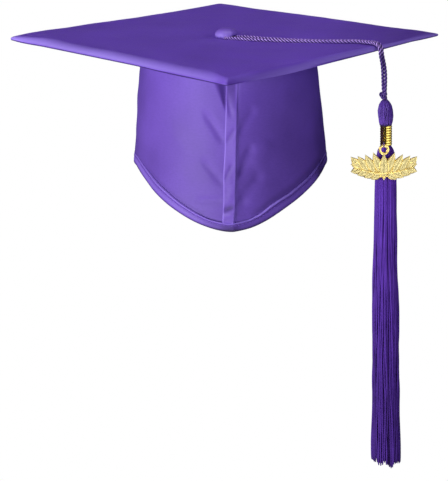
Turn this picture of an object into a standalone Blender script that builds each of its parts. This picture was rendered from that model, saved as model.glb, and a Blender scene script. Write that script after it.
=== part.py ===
"""Graduation cap: square padded board, soft crown, covered button, corded tassel with a gold band and pendant.

Frame: metres, +Z up. The front peak of the crown points to -Y and +X is to the viewer's right.
The origin is on the button's axis, at the level of the side hem, in the head opening.
"""
import math

import bmesh
import bpy
from mathutils import Matrix, Vector

for old in list(bpy.data.objects):
    bpy.data.objects.remove(old, do_unlink=True)

# ---------------------------------------------------------------- driving dimensions (metres)
GAP = 0.0003               # clearance between neighbouring pieces

BOARD_SIDE = 0.2413        # side of the square board
BOARD_X = -0.0016          # board centre, measured from the button axis
BOARD_CORNER_R = 0.0030    # corner radius of the square in plan
RIM_R = 0.0024             # roll of the rim's upper edge
TOP_Z = 0.1010             # upper face of the board
COVER_T = 0.0006           # cloth of the board covers
PADDING_T = 0.0014
CORE_T = 0.0020
RIVET_HOLE_R = 0.0020
BUTTON_PAD_R = 0.0160      # the top face dips inside this ring, where the button pulls it in
BUTTON_DIP = 0.0002

CROWN_X = 0.0020           # crown centre, measured from the button axis
CROWN_A_TOP = 0.0673       # half width of the crown at the board
CROWN_A_GAIN = 0.0106      # how much wider it is 98 mm lower
CROWN_B_TOP = 0.0860       # half length of the crown at the board
CROWN_B_GAIN = 0.0110
CROWN_REF_H = 0.0980
HEM_SIDE_H = 0.1010        # depth of the hem below the board's top, at the sides
HEM_FRONT_H = 0.1360       # at the front peak
HEM_BACK_H = 0.1090        # at the back
PANEL_T = 0.0008
LINING_T = 0.0005
BINDING_T = 0.0006
BINDING_H = 0.0065
FOLD_HALF_W = 0.0045
FOLD_T = 0.0012
ELASTIC_H = 0.0062
ELASTIC_T = 0.0010
ELASTIC_HALF_DEG = 54.0
DISC_T = 0.0005

BUTTON_R = 0.0094
BUTTON_H = 0.0064
BUTTON_CLOTH_T = 0.0005
BUTTON_SHELL_T = 0.0007
BUTTON_LOW_GAP = 0.0004    # under the low side of the tilted rim
BUTTON_TILT_DEG = 10.8     # the cord under the rim lifts one side
BUTTON_LIFT_DEG = -84.0    # direction of the lifted side
BUTTON_BACK_R = 0.0056
SHANK_R = 0.0024
RIVET_R = 0.0016
RIVET_HEAD_R = 0.0034
RIVET_HEAD_T = 0.0008
WASHER_R = 0.0055
WASHER_T = 0.0006

CORD_D = 0.0024            # one leg of the cord
CORD_LIFT = 0.0015         # height of the cord's centre above the board
LOOP_R = 0.0052            # turn of the cord round the shank
CORD_LEAVE_DEG = -65.0     # direction in which the cord leaves the button
LEG_HALF = 0.0014          # half distance of the two legs where they lie together
BEND_R = 0.0050            # turn of the cord over the rim
PAIR_D = 0.0047            # the two legs twisted together
KNOT_R = 0.0030

TASSEL_PERP = 0.1260       # tassel axis, measured square to the front right edge from the board's centre
TASSEL_ALONG = 0.0515      # and along that edge
EDGE_ALONG = 0.0476        # where the cord crosses the edge
DROP_Z = 0.0949            # swing point of the drop, beside the rim
KNOT_Z = 0.0620
HEAD_TOP_Z = 0.0589
HEAD_R = 0.0060
BAND_TOP_Z = 0.0383
BAND_LOW_Z = 0.0224
BAND_R = 0.0051
BAND_IN_R = 0.0042
BAND_RIBS = 8
NECK_R = 0.0030
NECK_LOW_Z = 0.0289
TIE_WRAP_T = 0.0006
FRINGE_PIVOT_Z = 0.0245
FRINGE_BALL_R = 0.0036
FRINGE_LOW_Z = -0.2380

CHARM_X = 0.1222
CHARM_Z = 0.0076
CHARM_W = 0.0532
CHARM_H = 0.0224
CHARM_T = 0.0016
CHARM_BACK_Y = -0.0603
CHARM_LOOP_Z = 0.0205
CHARM_LOOP_R = 0.0043
CHARM_HOLE_R = 0.0021
CHARM_THREAD_R = 0.00045
CHARM_THREAD_TURN = 0.00215

EDGE_N = Vector((1.0, -1.0, 0.0)).normalized()    # square to the front right edge, outwards
EDGE_T = Vector((1.0, 1.0, 0.0)).normalized()     # along that edge
BOARD_HALF = BOARD_SIDE / 2.0


def edge_point(perp, along, z):
    """Point given square to and along the front right edge, from the board's centre."""
    p = Vector((BOARD_X, 0.0, 0.0)) + EDGE_N * perp + EDGE_T * along
    return Vector((p.x, p.y, z))


DROP_PIVOT = edge_point(BOARD_HALF - 0.00105 + BEND_R, EDGE_ALONG, DROP_Z)
KNOT_PIVOT = edge_point(TASSEL_PERP, TASSEL_ALONG, KNOT_Z)
TASSEL_X, TASSEL_Y = KNOT_PIVOT.x, KNOT_PIVOT.y
FRINGE_PIVOT = Vector((TASSEL_X, TASSEL_Y, FRINGE_PIVOT_Z))
CHARM_PIVOT = Vector((CHARM_X, CHARM_BACK_Y - CHARM_T / 2.0,
                      CHARM_LOOP_Z + (CHARM_LOOP_R + CHARM_HOLE_R) / 2.0))
BUTTON_PIVOT = Vector((0.0, 0.0, TOP_Z))


# ---------------------------------------------------------------- materials
def material(name, color, roughness, metallic=0.0):
    m = bpy.data.materials.new(name)
    m.use_nodes = True
    b = m.node_tree.nodes["Principled BSDF"]
    b.inputs["Base Color"].default_value = (color[0], color[1], color[2], 1.0)
    b.inputs["Roughness"].default_value = roughness
    b.inputs["Metallic"].default_value = metallic
    m.diffuse_color = (color[0], color[1], color[2], 1.0)
    return m


CLOTH = material("purple_cloth", (0.115, 0.055, 0.340), 0.62)
CROWN_CLOTH = material("purple_crown_cloth", (0.125, 0.060, 0.360), 0.66)
LINING = material("purple_lining", (0.085, 0.045, 0.240), 0.70)
CORD = material("purple_cord", (0.150, 0.085, 0.400), 0.45)
YARN = material("purple_yarn", (0.100, 0.045, 0.300), 0.42)
GOLD = material("gold", (0.830, 0.640, 0.190), 0.28, 1.0)
GLITTER = material("gold_glitter", (0.800, 0.680, 0.300), 0.40, 1.0)
STEEL = material("steel", (0.560, 0.570, 0.590), 0.35, 1.0)
CARD = material("grey_card", (0.330, 0.300, 0.270), 0.90)
WADDING = material("white_wadding", (0.820, 0.810, 0.790), 0.95)
ELASTIC = material("purple_elastic", (0.090, 0.050, 0.250), 0.75)
THREAD = material("purple_thread", (0.075, 0.030, 0.230), 0.55)


# ---------------------------------------------------------------- pivots of the moving pieces
def pivot(name, at, parent=None):
    e = bpy.data.objects.new(name, None)
    e.empty_display_size = 0.01
    bpy.context.scene.collection.objects.link(e)
    if parent is not None:
        e.parent = parent
        e.location = at - PIVOT_AT[parent.name]
    else:
        e.location = at
    PIVOT_AT[name] = Vector(at)
    return e


PIVOT_AT = {}
LOOP_PIVOT = pivot("pivot_tassel_turn", BUTTON_PIVOT)
DROP_EMPTY = pivot("pivot_drop_swing", DROP_PIVOT, LOOP_PIVOT)
TASSEL_EMPTY = pivot("pivot_tassel_swing", KNOT_PIVOT, DROP_EMPTY)
FRINGE_EMPTY = pivot("pivot_fringe_sway", FRINGE_PIVOT, TASSEL_EMPTY)
CHARM_EMPTY = pivot("pivot_charm_swing", CHARM_PIVOT, TASSEL_EMPTY)


# ---------------------------------------------------------------- building helpers
def finish(name, bm, mat, parent=None, smooth=40.0):
    """Turn a bmesh in world coordinates into a named object, hung on its pivot."""
    bmesh.ops.remove_doubles(bm, verts=bm.verts, dist=1e-7)
    bmesh.ops.recalc_face_normals(bm, faces=bm.faces)
    if parent is not None:
        bmesh.ops.translate(bm, verts=bm.verts, vec=-PIVOT_AT[parent.name])
    me = bpy.data.meshes.new(name)
    bm.to_mesh(me)
    bm.free()
    me.materials.append(mat)
    me.shade_smooth()
    me.set_sharp_from_angle(angle=math.radians(smooth))
    ob = bpy.data.objects.new(name, me)
    bpy.context.scene.collection.objects.link(ob)
    ob.parent = parent
    return ob


def loft(bm, rings, closed=False):
    """Skin a list of rings of equal length. Closed joins the last ring to the first, else the ends are capped."""
    rows = [[bm.verts.new(p) for p in ring] for ring in rings]
    n = len(rows[0])
    last = len(rows) if closed else len(rows) - 1
    for k in range(last):
        a, b = rows[k], rows[(k + 1) % len(rows)]
        for i in range(n):
            j = (i + 1) % n
            bm.faces.new((a[i], a[j], b[j], b[i]))
    if not closed:
        bm.faces.new(rows[0])
        bm.faces.new(rows[-1])
    return rows


def circle(r, z, sides, centre=(0.0, 0.0), ry=None, turn=0.0):
    ry = r if ry is None else ry
    return [Vector((centre[0] + r * math.cos(2 * math.pi * i / sides + turn),
                    centre[1] + ry * math.sin(2 * math.pi * i / sides + turn), z)) for i in range(sides)]


def turned(name, profile, sides, mat, parent=None, centre=(0.0, 0.0), closed=False, matrix=None):
    """Solid of revolution about a vertical axis from (radius, z) pairs."""
    bm = bmesh.new()
    loft(bm, [circle(r, z, sides, centre) for r, z in profile], closed)
    if matrix is not None:
        bmesh.ops.transform(bm, matrix=matrix, verts=bm.verts)
    return finish(name, bm, mat, parent)


def spline(points, steps):
    """Smooth curve (centripetal style, uniform Catmull-Rom) through the given points."""
    pts = [points[0] * 2 - points[1]] + list(points) + [points[-1] * 2 - points[-2]]
    out = []
    for k in range(1, len(pts) - 2):
        p0, p1, p2, p3 = pts[k - 1], pts[k], pts[k + 1], pts[k + 2]
        for s in range(steps):
            t = s / steps
            out.append(0.5 * ((2 * p1) + (p2 - p0) * t + (2 * p0 - 5 * p1 + 4 * p2 - p3) * t * t
                              + (3 * p1 - p0 - 3 * p2 + p3) * t ** 3))
    out.append(points[-1].copy())
    return out


def resample(points, step):
    """Evenly spaced points along a polyline."""
    lengths = [0.0]
    for a, b in zip(points, points[1:]):
        lengths.append(lengths[-1] + (b - a).length)
    count = max(2, round(lengths[-1] / step))
    out, k = [], 0
    for i in range(count + 1):
        want = lengths[-1] * i / count
        while k < len(lengths) - 2 and lengths[k + 1] < want:
            k += 1
        span = lengths[k + 1] - lengths[k]
        t = 0.0 if span == 0 else (want - lengths[k]) / span
        out.append(points[k].lerp(points[k + 1], min(max(t, 0.0), 1.0)))
    return out


def cord(name, points, diameter, mat, parent, radii=None, cyclic=False, resolution=2):
    """Tube along a poly curve with filled ends."""
    cu = bpy.data.curves.new(name, "CURVE")
    cu.dimensions = "3D"
    cu.twist_mode = "MINIMUM"
    cu.bevel_depth = diameter / 2.0
    cu.bevel_resolution = resolution
    cu.use_fill_caps = not cyclic
    sp = cu.splines.new("POLY")
    sp.points.add(len(points) - 1)
    base = PIVOT_AT[parent.name]
    for i, p in enumerate(points):
        q = p - base
        sp.points[i].co = (q.x, q.y, q.z, 1.0)
        sp.points[i].radius = 1.0 if radii is None else radii[i]
    sp.use_cyclic_u = cyclic
    cu.materials.append(mat)
    ob = bpy.data.objects.new(name, cu)
    bpy.context.scene.collection.objects.link(ob)
    ob.parent = parent
    return ob


# ---------------------------------------------------------------- board
CORNER_STEPS = 4
EDGE_STEPS = 4


def diamond(half, r, z):
    """Outline of the board: a square standing on its corner, with rounded corners."""
    out = []
    for c in range(4):
        a0 = math.pi / 2 * c
        centre = Vector((math.cos(a0), math.sin(a0), 0.0)) * ((half - r) * math.sqrt(2))
        arc = [centre + Vector((math.cos(a0 + a), math.sin(a0 + a), 0.0)) * r
               for a in [math.pi / 4 * (2 * k / CORNER_STEPS - 1) for k in range(CORNER_STEPS + 1)]]
        out += arc
        a1 = a0 + math.pi / 2
        nxt = Vector((math.cos(a1), math.sin(a1), 0.0)) * ((half - r) * math.sqrt(2)) \
            + Vector((math.cos(a0 + math.pi / 4), math.sin(a0 + math.pi / 4), 0.0)) * r
        for k in range(1, EDGE_STEPS):
            out.append(arc[-1].lerp(nxt, k / EDGE_STEPS))
    return [Vector((p.x + BOARD_X, p.y, z)) for p in out]


def hole(r, z):
    """Round hole on the button axis, with one point for each point of the outline."""
    return [Vector((r * math.cos(a), r * math.sin(a), z))
            for a in [math.atan2(p.y, p.x) for p in diamond(BOARD_HALF, BOARD_CORNER_R, 0.0)]]


def plate(name, half, z_low, z_high, mat):
    bm = bmesh.new()
    r = max(BOARD_CORNER_R - (BOARD_HALF - half), 0.001)
    loft(bm, [hole(RIVET_HOLE_R, z_high), hole(BUTTON_PAD_R, z_high), diamond(half, r, z_high),
              diamond(half, r, z_low), hole(BUTTON_PAD_R, z_low), hole(RIVET_HOLE_R, z_low)], closed=True)
    return finish(name, bm, mat)


pad_top = TOP_Z - BUTTON_DIP - COVER_T - GAP
core_top = pad_top - PADDING_T - GAP
under_top = core_top - CORE_T - GAP
under_low = under_top - COVER_T
inner_half = BOARD_HALF - COVER_T
plate_half = inner_half - GAP

rim = []
for k in range(5):
    a = math.pi / 2 * k / 4
    inset = RIM_R * (1 - math.sin(a))
    rim.append(diamond(BOARD_HALF - inset, BOARD_CORNER_R - 0.6 * inset, TOP_Z - RIM_R * (1 - math.cos(a))))
skirt_low = under_low - 0.0002
bm = bmesh.new()
inner_r = BOARD_CORNER_R - COVER_T
loft(bm, [hole(RIVET_HOLE_R, TOP_Z - BUTTON_DIP), hole(BUTTON_PAD_R, TOP_Z)] + rim
     + [diamond(BOARD_HALF, BOARD_CORNER_R, skirt_low + 0.0008), diamond(BOARD_HALF - 0.0004, BOARD_CORNER_R, skirt_low),
        diamond(inner_half, inner_r, skirt_low), diamond(inner_half, inner_r, TOP_Z - RIM_R),
        diamond(inner_half - RIM_R + COVER_T, inner_r, TOP_Z - COVER_T),
        hole(BUTTON_PAD_R, TOP_Z - COVER_T), hole(RIVET_HOLE_R, TOP_Z - BUTTON_DIP - COVER_T)], closed=True)
finish("board_top_cover", bm, CLOTH, smooth=50.0)

plate("board_padding", plate_half - RIM_R, core_top + GAP, pad_top, WADDING)
plate("board_core", plate_half, under_top + GAP, core_top, CARD)
plate("board_under_cover", plate_half, under_low, under_top, CLOTH)


# ---------------------------------------------------------------- crown
def hem_depth(phi):
    """Depth of the hem below the board's top. phi is the angle from the front, positive to +X, in degrees."""
    phi = (phi + 180.0) % 360.0 - 180.0
    a = math.sqrt(phi * phi + 9.0) - 3.0
    front = 0.5 * math.cos(math.radians(min(a, 78.0) * 90.0 / 78.0)) ** 2 + 0.5 * max(0.0, 1.0 - a / 72.0)
    back = math.sin(math.radians(max(0.0, abs(phi) - 100.0) * 90.0 / 80.0)) ** 2
    return HEM_SIDE_H + (HEM_FRONT_H - HEM_SIDE_H) * front + (HEM_BACK_H - HEM_SIDE_H) * back


def crown_point(phi, h, off):
    a = CROWN_A_TOP + CROWN_A_GAIN * h / CROWN_REF_H + off
    b = CROWN_B_TOP + CROWN_B_GAIN * h / CROWN_REF_H + off
    p = math.radians(phi)
    return Vector((CROWN_X + a * math.sin(p), -b * math.cos(p), TOP_Z - h))


def shell(name, phis, h_low, h_high, steps, off_out, off_in, mat):
    """Closed piece of the crown between two depths; h_low and h_high are functions of phi."""
    bm = bmesh.new()
    sides = []
    for off in (off_out, off_in):
        grid = []
        for phi in phis:
            h0, h1 = h_low(phi), h_high(phi)
            grid.append([bm.verts.new(crown_point(phi, h0 + (h1 - h0) * k / steps, off)) for k in range(steps + 1)])
        sides.append(grid)
    o, i = sides
    n = len(phis)
    for p in range(n - 1):
        for k in range(steps):
            bm.faces.new((o[p][k], o[p][k + 1], o[p + 1][k + 1], o[p + 1][k]))
            bm.faces.new((i[p][k], i[p + 1][k], i[p + 1][k + 1], i[p][k + 1]))
        bm.faces.new((o[p][0], o[p + 1][0], i[p + 1][0], i[p][0]))
        bm.faces.new((o[p][steps], i[p][steps], i[p + 1][steps], o[p + 1][steps]))
    for k in range(steps):
        bm.faces.new((o[0][k], i[0][k], i[0][k + 1], o[0][k + 1]))
        bm.faces.new((o[-1][k], o[-1][k + 1], i[-1][k + 1], i[-1][k]))
    return finish(name, bm, mat)


crown_top = TOP_Z - under_low + GAP + 0.0003
SEAM_DEG = 0.10
PANEL_STEPS = 20


def span(a, b, n):
    return [a + (b - a) * k / n for k in range(n + 1)]


for side, word in ((-1, "left"), (1, "right")):
    arc = [side * v for v in span(SEAM_DEG, 180.0 - SEAM_DEG, PANEL_STEPS)]
    shell("crown_%s_panel" % word, arc, lambda p: crown_top, hem_depth, 3, 0.0, -PANEL_T, CROWN_CLOTH)
    shell("crown_%s_lining" % word, arc, lambda p: crown_top, hem_depth, 3,
          -PANEL_T - GAP, -PANEL_T - GAP - LINING_T, LINING)

fold_deg = math.degrees(math.asin(FOLD_HALF_W / (CROWN_A_TOP + CROWN_A_GAIN)))
shell("front_seam_fold", span(-fold_deg, fold_deg, 4), lambda p: crown_top,
      lambda p: hem_depth(p) - BINDING_H - 0.0015, 4, GAP + FOLD_T, GAP, CROWN_CLOTH)

stack_in = PANEL_T + GAP + LINING_T
bm = bmesh.new()
section = [(GAP + BINDING_T, -BINDING_H), (GAP + BINDING_T, GAP + BINDING_T),
           (-stack_in - GAP - BINDING_T, GAP + BINDING_T), (-stack_in - GAP - BINDING_T, -BINDING_H),
           (-stack_in - GAP, -BINDING_H), (-stack_in - GAP, GAP), (GAP, GAP), (GAP, -BINDING_H)]
HEM_STEPS = 2 * PANEL_STEPS
loft(bm, [[crown_point(360.0 * k / HEM_STEPS, hem_depth(360.0 * k / HEM_STEPS) + dh, off) for off, dh in section]
          for k in range(HEM_STEPS)], closed=True)
finish("hem_binding", bm, CROWN_CLOTH)

shell("elastic_band", span(180.0 - ELASTIC_HALF_DEG, 180.0 + ELASTIC_HALF_DEG, 12),
      lambda p: hem_depth(p) - BINDING_H - GAP - ELASTIC_H, lambda p: hem_depth(p) - BINDING_H - GAP, 1,
      -stack_in - GAP, -stack_in - GAP - ELASTIC_T, ELASTIC)

disc_h = TOP_Z - (under_low - GAP - WASHER_T - GAP - RIVET_HEAD_T - 0.0010)
bm = bmesh.new()
loft(bm, [[crown_point(360.0 * k / 40, disc_h + d, -stack_in - GAP - 0.0002) for k in range(40)] for d in (0.0, DISC_T)])
finish("crown_lining_disc", bm, LINING)


# ---------------------------------------------------------------- button
lift = Vector((math.cos(math.radians(BUTTON_LIFT_DEG)), math.sin(math.radians(BUTTON_LIFT_DEG)), 0.0))
tilt = math.radians(BUTTON_TILT_DEG)
button_z = TOP_Z + BUTTON_LOW_GAP + BUTTON_R * math.sin(tilt)
BUTTON_M = Matrix.Translation((0.0, 0.0, button_z)) @ Matrix.Rotation(tilt, 4, lift.cross(Vector((0, 0, 1))))


def dome(r, h, steps):
    return [(r * math.cos(math.pi / 2 * k / steps), h * math.sin(math.pi / 2 * k / steps)) for k in range(steps + 1)]


def dome_shell(name, r, h, t, mat, sides=20, steps=6):
    """Open dome of even wall, rim down."""
    bm = bmesh.new()
    outer = dome(r, h, steps)[:-1]
    inner = dome(r - t, h - t, steps)[:-1]
    rings = [circle(a, z, sides) for a, z in reversed(outer)] + [circle(a, z, sides) for a, z in inner]
    rows = [[bm.verts.new(p) for p in ring] for ring in rings]
    for a, b in zip(rows, rows[1:]):
        for i in range(sides):
            bm.faces.new((a[i], a[(i + 1) % sides], b[(i + 1) % sides], b[i]))
    for row, z in ((rows[0], h), (rows[-1], h - t)):
        top = bm.verts.new((0.0, 0.0, z))
        for i in range(sides):
            bm.faces.new((row[i], row[(i + 1) % sides], top))
    bmesh.ops.transform(bm, matrix=BUTTON_M, verts=bm.verts)
    return finish(name, bm, mat)


dome_shell("button_cover", BUTTON_R, BUTTON_H, BUTTON_CLOTH_T, CLOTH)
shell_r = BUTTON_R - BUTTON_CLOTH_T - GAP
shell_h = BUTTON_H - BUTTON_CLOTH_T - GAP
dome_shell("button_shell", shell_r, shell_h, BUTTON_SHELL_T, STEEL)
turned("button_back", [(BUTTON_BACK_R, 0.0032), (BUTTON_BACK_R, 0.0025), (SHANK_R, 0.0025), (SHANK_R, 0.0003)],
       16, STEEL, matrix=BUTTON_M)
washer_top = under_low - GAP
turned("rivet_washer", [(RIVET_HOLE_R, washer_top), (WASHER_R, washer_top), (WASHER_R, washer_top - WASHER_T),
                        (RIVET_HOLE_R, washer_top - WASHER_T)], 16, STEEL, closed=True)
head_top = washer_top - WASHER_T - GAP
turned("button_rivet", [(RIVET_R, TOP_Z + 0.0014), (RIVET_R, head_top), (RIVET_HEAD_R, head_top),
                        (RIVET_HEAD_R, head_top - RIVET_HEAD_T * 0.6), (RIVET_HEAD_R * 0.7, head_top - RIVET_HEAD_T)],
       14, STEEL)


# ---------------------------------------------------------------- loop of cord on the board
cord_z = TOP_Z + CORD_LIFT
bend_in = BOARD_HALF - 0.00105                     # where the turn over the rim begins
edge_in = edge_point(bend_in, EDGE_ALONG, cord_z)


def flat(x, y):
    return Vector((x, y, cord_z))


# route of the loop's middle line, from the button to the rim
leave = math.radians(CORD_LEAVE_DEG)
middle = spline([flat(0.008 * math.cos(leave), 0.008 * math.sin(leave)), flat(0.0105, -0.0150), flat(0.0280, -0.0240),
                 flat(0.0496, -0.0312), flat(0.0700, -0.0362), flat(0.0887, -0.0392), flat(0.1030, -0.0410),
                 edge_in - EDGE_N * 0.0050, edge_in], 12)
middle = resample(middle, 0.0058)


def leg(side):
    """One leg of the loop, side -1 is the front one; from the button to the rim and over it."""
    out = []
    n = len(middle) - 1
    for k, p in enumerate(middle):
        if k == 0:
            continue
        q = middle[min(k + 1, n)] - middle[max(k - 1, 0)]
        q = EDGE_N.copy() if k == n else q.normalized()
        across = Vector((-q.y, q.x, 0.0))
        t = min(1.0, k / n / 0.66)
        half = LOOP_R + (LEG_HALF - LOOP_R) * (t * t * (3 - 2 * t))
        out.append(p + across * half * side)
    across = Vector((-EDGE_N.y, EDGE_N.x, 0.0))
    for k in range(1, 7):
        a = math.radians(86.0) * k / 6
        out.append(edge_in + across * LEG_HALF * side + EDGE_N * BEND_R * math.sin(a)
                   + Vector((0.0, 0.0, -BEND_R * (1 - math.cos(a)))))
    return out


turn = []
for k in range(9):
    a = math.radians(CORD_LEAVE_DEG - 90.0 - 180.0 * k / 8)
    turn.append(Vector((LOOP_R * math.cos(a), LOOP_R * math.sin(a), cord_z)))
cord("loop_cord", list(reversed(leg(-1))) + turn + leg(1), CORD_D, CORD, LOOP_PIVOT)


# ---------------------------------------------------------------- hanging pair of legs, knot
drop_low = KNOT_PIVOT + (DROP_PIVOT - KNOT_PIVOT).normalized() * (KNOT_R + 0.0004)
r_pair = PAIR_D / 2.0
down = (drop_low - DROP_PIVOT).normalized()
drop_pts, drop_radii = [], []
for k in range(1, 5):
    a = math.pi / 2 * k / 4
    drop_pts.append(DROP_PIVOT - down * r_pair * math.cos(a))
    drop_radii.append(math.sin(a))
bow = (EDGE_N * 0.0005 - EDGE_T * 0.0004)
for k in range(1, 6):
    t = k / 5
    drop_pts.append(DROP_PIVOT.lerp(drop_low, t) + bow * math.sin(math.pi * t))
    drop_radii.append(1.0 - 0.12 * t)
cord("drop_cord", drop_pts, PAIR_D, CORD, DROP_EMPTY, drop_radii)

bm = bmesh.new()
bmesh.ops.create_uvsphere(bm, u_segments=14, v_segments=8, radius=KNOT_R)
bmesh.ops.scale(bm, vec=(1.0, 1.0, 0.92), verts=bm.verts)
bmesh.ops.translate(bm, vec=KNOT_PIVOT, verts=bm.verts)
finish("cord_knot", bm, CORD, TASSEL_EMPTY)


# ---------------------------------------------------------------- tassel
axis = (TASSEL_X, TASSEL_Y)
head_low = BAND_TOP_Z + GAP
turned("tassel_head",
       [(0.0020, HEAD_TOP_Z), (0.0036, HEAD_TOP_Z - 0.0018), (0.0052, HEAD_TOP_Z - 0.0046),
        (HEAD_R, HEAD_TOP_Z - 0.0090), (HEAD_R * 0.97, HEAD_TOP_Z - 0.0135), (0.0053, head_low + 0.0020),
        (0.0049, head_low), (NECK_R, head_low), (NECK_R, NECK_LOW_Z)], 16, YARN, TASSEL_EMPTY, axis)
turned("tassel_binding",
       [(NECK_R + GAP, BAND_TOP_Z - 0.0012), (NECK_R + GAP + TIE_WRAP_T, BAND_TOP_Z - 0.0012),
        (NECK_R + GAP + TIE_WRAP_T, NECK_LOW_Z + 0.0012), (NECK_R + GAP, NECK_LOW_Z + 0.0012)],
       16, THREAD, TASSEL_EMPTY, axis, closed=True)
rib = (BAND_TOP_Z - BAND_LOW_Z) / BAND_RIBS
band = [(BAND_R - 0.0004, BAND_TOP_Z)]
for k in range(BAND_RIBS):
    band.append((BAND_R, BAND_TOP_Z - rib * (k + 0.5)))
    band.append((BAND_R - 0.0004, BAND_TOP_Z - rib * (k + 1)))
band += [(BAND_IN_R, BAND_LOW_Z), (BAND_IN_R, BAND_TOP_Z)]
turned("tassel_band", band, 16, GOLD, TASSEL_EMPTY, axis, closed=True)

bm = bmesh.new()
rings = []
for k in range(1, 6):
    a = math.radians(150.0) * k / 5
    rings.append((FRINGE_PIVOT_Z + FRINGE_BALL_R * math.cos(a), FRINGE_BALL_R * math.sin(a)))
rings = [(z, r, r) for z, r in rings[:-1]]
rings += [(0.0205, 0.0033, 0.0033), (0.0180, 0.0042, 0.0039), (0.0130, 0.0058, 0.0048), (0.0040, 0.0074, 0.0058),
          (-0.0070, 0.0084, 0.0065), (-0.0600, 0.0096, 0.0072), (-0.1050, 0.0107, 0.0077),
          (-0.1850, 0.0110, 0.0080), (-0.2250, 0.0117, 0.0083), (FRINGE_LOW_Z, 0.0119, 0.0083)]
loft(bm, [circle(rx, z, 16, axis, ry) for z, rx, ry in rings])
finish("fringe", bm, YARN, FRINGE_EMPTY)


# ---------------------------------------------------------------- pendant: a spray of leaves on a loop
SPRAY_MIDDLE = (0.0, -0.0056)      # where the leaves' outlines are seen from, in the pendant's own plane
SPRAY_STEPS = 96


def leaf(at, angle, length, width):
    """Outline of a pointed leaf in the pendant's plane."""
    edge = [(length * k / 12, width / 2 * math.sin(math.pi * (k / 12) ** 0.85)) for k in range(13)]
    c, s = math.cos(angle), math.sin(angle)
    return [(at[0] + c * x - s * w, at[1] + s * x + c * w) for x, w in edge + [(x, -w) for x, w in reversed(edge[1:-1])]]


def spray():
    """Places of the leaves: (foot, angle in degrees, length, width), mirrored about the middle."""
    out = [((0.0, -CHARM_H / 2), 90.0, 0.0212, 0.0084)]
    for side in (-1, 1):
        for k in range(4):
            t = (k + 0.42) / 4
            x, z = 0.0205 * t, -0.0060 + 0.0046 * t * t
            up, low = 72.0 - 26.0 * t, -34.0 + 24.0 * t
            for angle, length, width in ((up, 0.0178 - 0.0016 * k, 0.0068), (low, 0.0094 - 0.0002 * k, 0.0060)):
                out.append(((side * x, z), angle if side > 0 else 180.0 - angle, length, width))
        out.append(((side * 0.0160, -0.0012), 14.0 if side > 0 else 166.0, CHARM_W / 2 - 0.0163, 0.0066))
    return out


def reach(angle, leaves):
    """How far the spray reaches from its middle in a direction."""
    c, s = math.cos(angle), math.sin(angle)
    best = 0.0030
    for outline in leaves:
        for (x0, z0), (x1, z1) in zip(outline, outline[1:] + outline[:1]):
            ax, az, bx, bz = x0 - SPRAY_MIDDLE[0], z0 - SPRAY_MIDDLE[1], x1 - SPRAY_MIDDLE[0], z1 - SPRAY_MIDDLE[1]
            a, b = c * az - s * ax, c * bz - s * bx
            if a * b < 0:
                t = a / (a - b)
                best = max(best, c * (ax + t * (bx - ax)) + s * (az + t * (bz - az)))
    return best


leaves = [leaf(foot, math.radians(angle), length, width) for foot, angle, length, width in spray()]
bm = bmesh.new()
rows, hubs = [], []
for y in (-0.43 * CHARM_T, 0.43 * CHARM_T):
    row = []
    for k in range(SPRAY_STEPS):
        a = 2 * math.pi * (k + 0.5) / SPRAY_STEPS
        r = reach(a, leaves)
        row.append(bm.verts.new((CHARM_X + SPRAY_MIDDLE[0] + r * math.cos(a), CHARM_PIVOT.y + y,
                                 CHARM_Z + SPRAY_MIDDLE[1] + r * math.sin(a))))
    rows.append(row)
    hubs.append(bm.verts.new((CHARM_X + SPRAY_MIDDLE[0], CHARM_PIVOT.y + y, CHARM_Z + SPRAY_MIDDLE[1])))
for k in range(SPRAY_STEPS):
    n = (k + 1) % SPRAY_STEPS
    bm.faces.new((rows[0][k], rows[0][n], rows[1][n], rows[1][k]))
    bm.faces.new((rows[0][k], rows[0][n], hubs[0]))
    bm.faces.new((rows[1][k], rows[1][n], hubs[1]))
charm = finish("charm", bm, GLITTER, CHARM_EMPTY, 30.0)

bm = bmesh.new()
ring_rows = []
for r, y in ((CHARM_LOOP_R, -1), (CHARM_LOOP_R, 1), (CHARM_HOLE_R, 1), (CHARM_HOLE_R, -1)):
    ring_rows.append([Vector((CHARM_X + r * math.cos(2 * math.pi * (i + 0.3) / 20), CHARM_PIVOT.y + y * CHARM_T / 2,
                              CHARM_LOOP_Z + r * math.sin(2 * math.pi * (i + 0.3) / 20))) for i in range(20)])
loft(bm, ring_rows, closed=True)
ring = finish("pendant_loop_tool", bm, GLITTER, CHARM_EMPTY)
ring.hide_render = True
ring.display_type = "WIRE"
mod = charm.modifiers.new("loop", "BOOLEAN")
mod.operation = "UNION"
mod.solver = "EXACT"
mod.object = ring

# thread round the top of the pendant's loop, with its tail drawn in under the band
thread = []
for k in range(13):
    a = math.radians(-25.0 + 310.0 * k / 12 - 0.0)
    thread.append(Vector((CHARM_X, CHARM_PIVOT.y + CHARM_THREAD_TURN * math.cos(a),
                          CHARM_PIVOT.z + CHARM_THREAD_TURN * math.sin(a))))
tail_y = TASSEL_Y - 0.0047
thread.append(Vector((CHARM_X, (thread[-1].y + tail_y) / 2 - 0.0002, CHARM_PIVOT.z - 0.0026)))
thread.append(Vector((CHARM_X, tail_y, CHARM_PIVOT.z - 0.0023)))
thread.append(Vector((CHARM_X, (thread[0].y + tail_y) / 2 + 0.0002, CHARM_PIVOT.z - 0.0013)))
cord("charm_tie", thread, 2 * CHARM_THREAD_R, THREAD, TASSEL_EMPTY, cyclic=True, resolution=1)
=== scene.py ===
"""Looks of the graduation cap: cloth, cord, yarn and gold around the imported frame."""

import math

import bmesh
import bpy
import numpy as np
from mathutils import Matrix, Vector


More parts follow.
